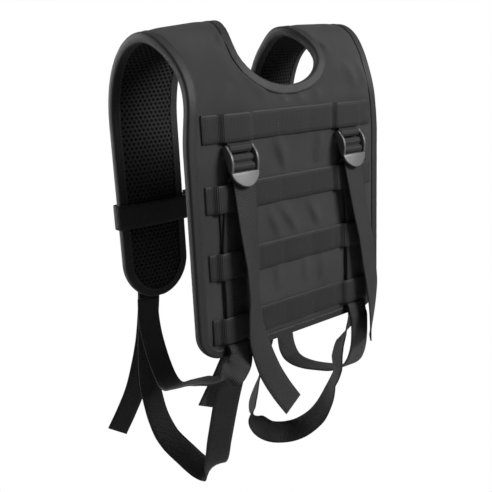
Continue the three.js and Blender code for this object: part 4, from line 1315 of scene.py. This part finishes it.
WRAP = BAR_RADIUS + LAID_GAP + WEBBING_THICK / 2


def lock_matrix(hinge, facing, tilt):
    """From a lock's own frame to its place; facing is -1 on the back and 1 on the front."""
    down = Vector((0, facing * math.sin(tilt), -math.cos(tilt)))
    out = Vector((0, facing * math.cos(tilt), math.sin(tilt)))
    side = down.cross(out)
    turn = Matrix((side, down, out)).transposed().to_4x4()
    return Matrix.Translation(hinge) @ turn


def round_edges(piece, width, sharper_than):
    """Rounds the edges that turn by more than sharper_than degrees."""
    rounded = piece.modifiers.new("rounded", "BEVEL")
    rounded.width = width
    rounded.segments = 3
    rounded.limit_method = "ANGLE"
    rounded.angle_limit = math.radians(sharper_than)
    apply_modifiers(piece)


def plate(name, outline, depth, bevel):
    """A flat plate: a disc's rim moved to the outline, extruded, and its edges rounded."""
    bpy.ops.object.select_all(action="DESELECT")
    bpy.ops.mesh.primitive_circle_add(vertices=len(outline), radius=0.01, fill_type="NGON")
    piece = bpy.context.object
    piece.name = name
    for vertex, (a, b) in zip(piece.data.vertices, outline):
        vertex.co = (a, b, 0)
    bpy.ops.object.mode_set(mode="EDIT")
    bpy.ops.mesh.select_all(action="SELECT")
    bpy.ops.mesh.extrude_region_move(TRANSFORM_OT_translate={"value": (0, 0, depth)})
    bpy.ops.mesh.select_all(action="SELECT")
    bpy.ops.mesh.normals_make_consistent(inside=False)
    bpy.ops.object.mode_set(mode="OBJECT")
    round_edges(piece, bevel, 35)
    return piece


def curve_points(start, control, end, count):
    t = np.linspace(0, 1, count + 1)[1:]
    start, control, end = (np.array(point, float) for point in (start, control, end))
    return [tuple(start * (1 - u) ** 2 + control * 2 * u * (1 - u) + end * u**2) for u in t]


def lock_wall():
    """A side wall: round at the hinge bar, bowed over the webbing, and down into the tab."""
    ring = BAR_RADIUS + LOCK_RIM
    turn = np.linspace(-math.pi / 2, -1.5 * math.pi, 12)
    outline = [(ring * math.cos(a), ring * math.sin(a)) for a in turn]
    bow = (MIDDLE_BAR, 2 * LOCK_BOW - ring)
    outline += curve_points(outline[-1], bow, (TAB_START, TAB_LOW + TAB_THICK), 12)
    outline += [(TAB_START + 0.002, TAB_LOW), (TAB_START - 0.003, -0.0012)]
    wall = plate("lock_wall", outline[::-1], LOCK_WALL, WALL_BEVEL)
    wall.data.transform(Matrix(((0, 0, 1, 0), (1, 0, 0, 0), (0, 1, 0, 0), (0, 0, 0, 1))))
    return wall


def lock_bar(t, radius):
    bpy.ops.object.select_all(action="DESELECT")
    bpy.ops.mesh.primitive_cylinder_add(
        vertices=24,
        radius=radius,
        depth=2 * LOCK_INNER + LOCK_WALL,
        location=(0, t, 0),
        rotation=(0, math.pi / 2, 0),
    )
    bar = bpy.context.object
    bpy.ops.object.transform_apply(location=True, rotation=True, scale=True)
    return bar


def lock_tab():
    half = LOCK_INNER + LOCK_WALL
    outline = [(-half, TAB_START), (half, TAB_START)]
    outline += curve_points(outline[-1], (half, TAB_START + TAB_SHOULDER), (TAB_TIP, TAB_END - TAB_ROUND), 8)
    outline += curve_points(outline[-1], (0, TAB_END + TAB_ROUND), (-TAB_TIP, TAB_END - TAB_ROUND), 8)
    outline += curve_points(outline[-1], (-half, TAB_START + TAB_SHOULDER), (-half, TAB_START), 8)[:-1]
    tab = plate("lock_tab", outline, TAB_THICK, TAB_BEVEL)
    for vertex in tab.data.vertices:
        reach = max(vertex.co.y - TAB_START, 0) / (TAB_END - TAB_START)
        vertex.co.z += TAB_LOW + TAB_LIFT * reach**2
    return tab


def unite(body, *others):
    for other in others:
        joined = body.modifiers.new("joined", "BOOLEAN")
        joined.operation = "UNION"
        joined.solver = "EXACT"
        joined.object = other
        apply_modifiers(body)
        bpy.data.objects.remove(other)
    return body


def lock_shape():
    """One whole ladder lock in its own frame."""
    near = lock_wall()
    near.data.transform(Matrix.Translation((LOCK_INNER, 0, 0)))
    far = lock_wall()
    far.data.transform(Matrix.Translation((-LOCK_INNER - LOCK_WALL, 0, 0)))
    bars = [lock_bar(t, BAR_RADIUS) for t in (0, MIDDLE_BAR, LOWER_BAR)]
    lock = unite(near, far, lock_tab(), *bars)
    lock.data.materials.clear()
    lock.data.materials.append(PLASTIC)
    bpy.ops.object.select_all(action="DESELECT")
    lock.select_set(True)
    bpy.context.view_layer.objects.active = lock
    bpy.ops.object.shade_smooth_by_angle(angle=math.radians(40))
    return lock


def turn_path():
    """The webbing gripped in a lock, as (t, h): up behind both bars, over them and down."""
    end = TAB_START + TURN_BEYOND
    behind = -WRAP - LAID_GAP
    over = [
        (MIDDLE_BAR + WRAP * math.cos(a), WRAP * math.sin(a))
        for a in np.radians(np.linspace(-90, -320, 11))
    ]
    dip = [((MIDDLE_BAR + LOWER_BAR) / 2, TURN_DIP)]
    lower = [
        (LOWER_BAR + WRAP * math.cos(a), WRAP * math.sin(a))
        for a in np.radians(np.linspace(140, 0, 7))
    ]
    return [(end, behind), (LOWER_BAR, behind)] + over + dip + lower + [(end, TURN_END)]


def loop_path():
    """A lock's anchor loop, as (t, h) with no tilt: sewn layers that open round the hinge bar."""
    hinge_n = BACK_Y - HINGES["left_back_lock_tilt"].y
    back = HALF + LAID_GAP + WEBBING_THICK / 2 - hinge_n
    front = back + WEBBING_THICK + LAID_GAP
    around = [
        (-WRAP * math.cos(a), WRAP * math.sin(a)) for a in np.linspace(math.pi / 6, 1.5 * math.pi, 12)
    ]
    end = LOOP_PINCH - LOOP_SEWN
    return [(end, front), (LOOP_PINCH, front)] + around + [(LOOP_PINCH, back), (end, back)]


def lock_ribbon(name, path, matrix):
    """Webbing through a lock: path is (t, h) in the frame that matrix places."""
    flat = catmull([(0, t, h) for t, h in path], 90)
    centres = [matrix @ Vector(point) for point in flat]
    across = np.tile(tuple(matrix.to_3x3() @ Vector((1, 0, 0))), (len(centres), 1))
    return ribbon(name, [tuple(centre) for centre in centres], across)


def make_locks():
    shape = lock_shape()
    for joint, hinge in HINGES.items():
        prefix = joint.replace("_lock_tilt", "")
        body = f"{prefix}_lock"
        facing = -1 if "back" in prefix else 1
        lock = shape.copy()
        lock.data = shape.data.copy()
        lock.name = f"{prefix}_ladder_lock_moulding"
        bpy.context.scene.collection.objects.link(lock)
        placed = lock_matrix(hinge, facing, BACK_TILT if facing < 0 else FRONT_TILT)
        lock.data.transform(placed)
        finish_piece(lock, body, "buckle_plastic", f"{prefix}_ladder_lock")
        turn = lock_ribbon(f"{prefix}_turn_webbing", turn_path(), placed)
        finish_piece(turn, body, "webbing", f"{prefix}_strap_turn")
        level = lock_matrix(hinge, facing, 0)
        loop = lock_ribbon(f"{prefix}_loop_webbing", loop_path(), level)
        finish_piece(loop, "root", "webbing", f"{prefix}_anchor_loop")
    bpy.data.objects.remove(shape)


make_locks()


# ---- Straps between the rows and the panel ----
LOAD_BULGE = 0.0004  # how far a load strap stands off between two rows


def make_straps_on_panel():
    under = HALF + LAID_GAP + WEBBING_THICK / 2
    over = under + WEBBING_THICK + LAID_GAP
    for side, word in ((-1, "left"), (1, "right")):
        load_low, load_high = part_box(f"{word}_load_strap")
        pass_low, pass_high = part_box(f"{word}_pass_strap")
        top_n = BACK_Y - load_low.y - WEBBING_THICK / 2
        load = [
            (LOCK_X, top_n, load_high.z),
            (LOCK_X, top_n - 0.0001, load_high.z - 0.001),
            (LOCK_X + 0.001, over, ROWS[1][1].z),
            (LOCK_X + 0.006, over, ROWS[1][0].z),
            (LOCK_X + 0.0085, over + LOAD_BULGE, (ROWS[1][0].z + ROWS[2][1].z) / 2),
            (LOAD_X, over, ROWS[2][1].z),
            (LOAD_X, over, ROWS[2][0].z),
            (LOAD_X, over + LOAD_BULGE, (ROWS[2][0].z + ROWS[3][1].z) / 2),
            (LOAD_X, over, ROWS[3][1].z),
            (LOAD_X, over, load_low.z),
        ]
        lying = [(LOAD_X, under, z) for z in np.linspace(pass_high.z, pass_low.z, 6)]
        held = Vector((side * LOCK_X, BACK_Y - top_n, load_high.z))
        bend = (f"{word}_back_lock", held, Vector((held.x, held.y, ROWS[1][1].z)))
        straps = ((load, f"{word}_load_strap", bend), (lying, f"{word}_pass_strap", None))
        for path, name, moves in straps:
            centres = catmull([(side * x, BACK_Y - n, z) for x, n, z in path], 80)
            across = np.tile((1.0, 0.0, 0.0), (len(centres), 1))
            strap = ribbon(name + "_webbing", centres, across)
            finish_piece(strap, "root", "webbing", name, bend=moves)


make_straps_on_panel()


# ---- Sternum strap ----
BAND_CLEAR = 0.0016  # from the binding's faces to the middle of the band's webbing
BAND_SIDE = 0.0012
BAND_ROUND = 0.0030  # how far the band bulges past the pad's edges
SLOT_BAR = 0.0011  # from the webbing's end to the middle of the buckle's slot
BEHIND_BUCKLE = 0.001
TURNED_BACK = 0.009  # the webbing's end, folded back over the buckle's bar


def make_bands():
    """A keeper band round each front pad, following its domed faces and rounded edges."""
    clear = BAND_CLEAR + BINDING_THICK
    height = (BAND[0].z + BAND[1].z) / 2
    share = np.linspace(-1, 1, 30)
    reach = PAD_HALF_WIDTH + BAND_SIDE
    face = [(reach * u, float(pad_half(PAD_HALF_WIDTH * (1 - abs(u)))) + clear) for u in share]
    edge_n = EDGE_HALF + clear
    bend = [
        (reach + BAND_ROUND * math.cos(a), edge_n * math.sin(a)) for a in np.linspace(1.2, -1.2, 9)
    ]
    around = face + bend + [(-x, -n) for x, n in face] + [(-x, -n) for x, n in bend]
    for side, word in ((-1, "left"), (1, "right")):
        centres = [(side * PAD_MIDDLE + x, FRONT_Y + n, height) for x, n in around]
        across = np.tile((0.0, 0.0, 1.0), (len(centres), 1))
        band = ribbon(f"{word}_band_webbing", centres, across, closed=True)
        finish_piece(band, f"sternum_{word}", "webbing", f"{word}_sternum_band")


make_bands()


def rounded_copy(node, name, material, bevel):
    """A CAD node's shape with merged faces and rounded edges."""
    source = frame["nodes"][node]
    piece = source.copy()
    piece.data = source.data.copy()
    for key in list(piece.keys()):
        del piece[key]
    piece.parent = None
    piece.name = name
    bpy.context.scene.collection.objects.link(piece)
    bpy.ops.object.select_all(action="DESELECT")
    piece.select_set(True)
    bpy.context.view_layer.objects.active = piece
    bpy.ops.object.mode_set(mode="EDIT")
    bpy.ops.mesh.select_all(action="SELECT")
    bpy.ops.mesh.remove_doubles(threshold=1e-6)
    bpy.ops.mesh.dissolve_limited(angle_limit=math.radians(2))
    bpy.ops.object.mode_set(mode="OBJECT")
    round_edges(piece, bevel, 30)
    piece.data.materials.clear()
    piece.data.materials.append(material)
    bpy.ops.object.shade_smooth_by_angle(angle=math.radians(40))
    return piece


def make_sternum_buckle():
    for node, body in (("sternum_buckle_socket", "sternum_left"), ("sternum_buckle_plug", "sternum_plug")):
        piece = rounded_copy(node, node + "_moulding", PLASTIC, 0.0006)
        finish_piece(piece, body, "buckle_plastic", node)


def make_sternum_webbing():
    socket_low, socket_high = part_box("sternum_buckle_socket")
    line_y = (socket_low.y + socket_high.y) / 2
    line_z = (socket_low.z + socket_high.z) / 2
    rear = -(socket_high.y - socket_low.y) / 2
    front = -rear + WEBBING_THICK
    for side, word in ((-1, "left"), (1, "right")):
        low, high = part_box(f"{word}_sternum_webbing")
        start = low.x if side < 0 else high.x
        slot = high.x - SLOT_BAR if side < 0 else low.x + SLOT_BAR
        path = [
            (start, rear - BEHIND_BUCKLE),
            (slot + side * 0.006, rear - BEHIND_BUCKLE),
            (slot + side * 0.0012, rear - BEHIND_BUCKLE),
            (slot, rear + 0.0016),
            (slot, front - 0.0020),
            (slot + side * 0.0016, front),
            (slot + side * TURNED_BACK, front),
        ]
        centres = catmull([(x, line_y + y, line_z) for x, y in path], 70)
        across = np.tile((0.0, 0.0, 1.0), (len(centres), 1))
        strap = ribbon(f"{word}_sternum_strap_webbing", centres, across)
        held = Vector((slot + side * (TURNED_BACK + 0.001), line_y, line_z))
        bend = ("sternum_plug", held, Vector((start, line_y, line_z))) if side > 0 else None
        finish_piece(strap, f"sternum_{word}", "webbing", f"{word}_sternum_webbing", bend=bend)


make_sternum_buckle()
make_sternum_webbing()


# ---- Floor and light ----
FLOOR_DROP = 0.42


def make_floor():
    bpy.ops.object.select_all(action="DESELECT")
    bpy.ops.mesh.primitive_plane_add(size=14, location=(0, 0, CAD_BOX[0][2] - FLOOR_DROP))
    floor = bpy.context.object
    floor.name = "floor"
    material = bpy.data.materials.new("floor_white")
    material.use_nodes = True
    material.node_tree.nodes.clear()
    nodes = Nodes(material.node_tree)
    output = nodes.add("ShaderNodeOutputMaterial")
    lit = nodes.add("ShaderNodeBsdfDiffuse")
    lit.inputs["Color"].default_value = grey(0.5, 1.0)
    glow = nodes.add("ShaderNodeEmission")
    path = nodes.add("ShaderNodeLightPath")
    mix = nodes.add("ShaderNodeMixShader")
    nodes.put(mix.inputs[0], path.outputs["Is Camera Ray"])
    nodes.put(mix.inputs[1], lit.outputs[0])
    nodes.put(mix.inputs[2], glow.outputs[0])
    nodes.put(output.inputs["Surface"], mix.outputs[0])
    floor.data.materials.append(material)


def area_light(name, at, aim, size, power):
    data = bpy.data.lights.new(name, "AREA")
    data.shape = "DISK"
    data.size = size
    data.energy = power
    light = bpy.data.objects.new(name, data)
    bpy.context.scene.collection.objects.link(light)
    towards = Vector(aim) - Vector(at)
    light.matrix_world = Matrix.Translation(at) @ towards.to_track_quat("-Z", "Y").to_matrix().to_4x4()


def make_world(fill):
    """White behind the object, and a weaker even light on it."""
    world = bpy.data.worlds.new("studio")
    world.use_nodes = True
    nodes = Nodes(world.node_tree)
    world.node_tree.nodes.clear()
    output = nodes.add("ShaderNodeOutputWorld")
    seen = nodes.add("ShaderNodeBackground")
    seen.inputs["Strength"].default_value = 1.0
    seen.inputs["Color"].default_value = grey(1.0, 1.0)
    light = nodes.add("ShaderNodeBackground")
    light.inputs["Strength"].default_value = fill
    path = nodes.add("ShaderNodeLightPath")
    mix = nodes.add("ShaderNodeMixShader")
    nodes.put(mix.inputs[0], path.outputs["Is Camera Ray"])
    nodes.put(mix.inputs[1], light.outputs[0])
    nodes.put(mix.inputs[2], seen.outputs[0])
    nodes.put(output.inputs["Surface"], mix.outputs[0])
    bpy.context.scene.world = world


MIDDLE = (0.0, 0.0, -0.2)  # what the lights are aimed at
FILL = 0.20  # the even light's strength
make_floor()
make_world(FILL)
area_light("key", (0.72, -1.35, 0.72), MIDDLE, 0.7, 54)
area_light("top", (-0.2, -0.5, 1.9), MIDDLE, 1.2, 16)
area_light("front_fill", (-0.9, 1.6, 0.1), MIDDLE, 1.6, 34)
bpy.context.scene.view_settings.view_transform = "Standard"
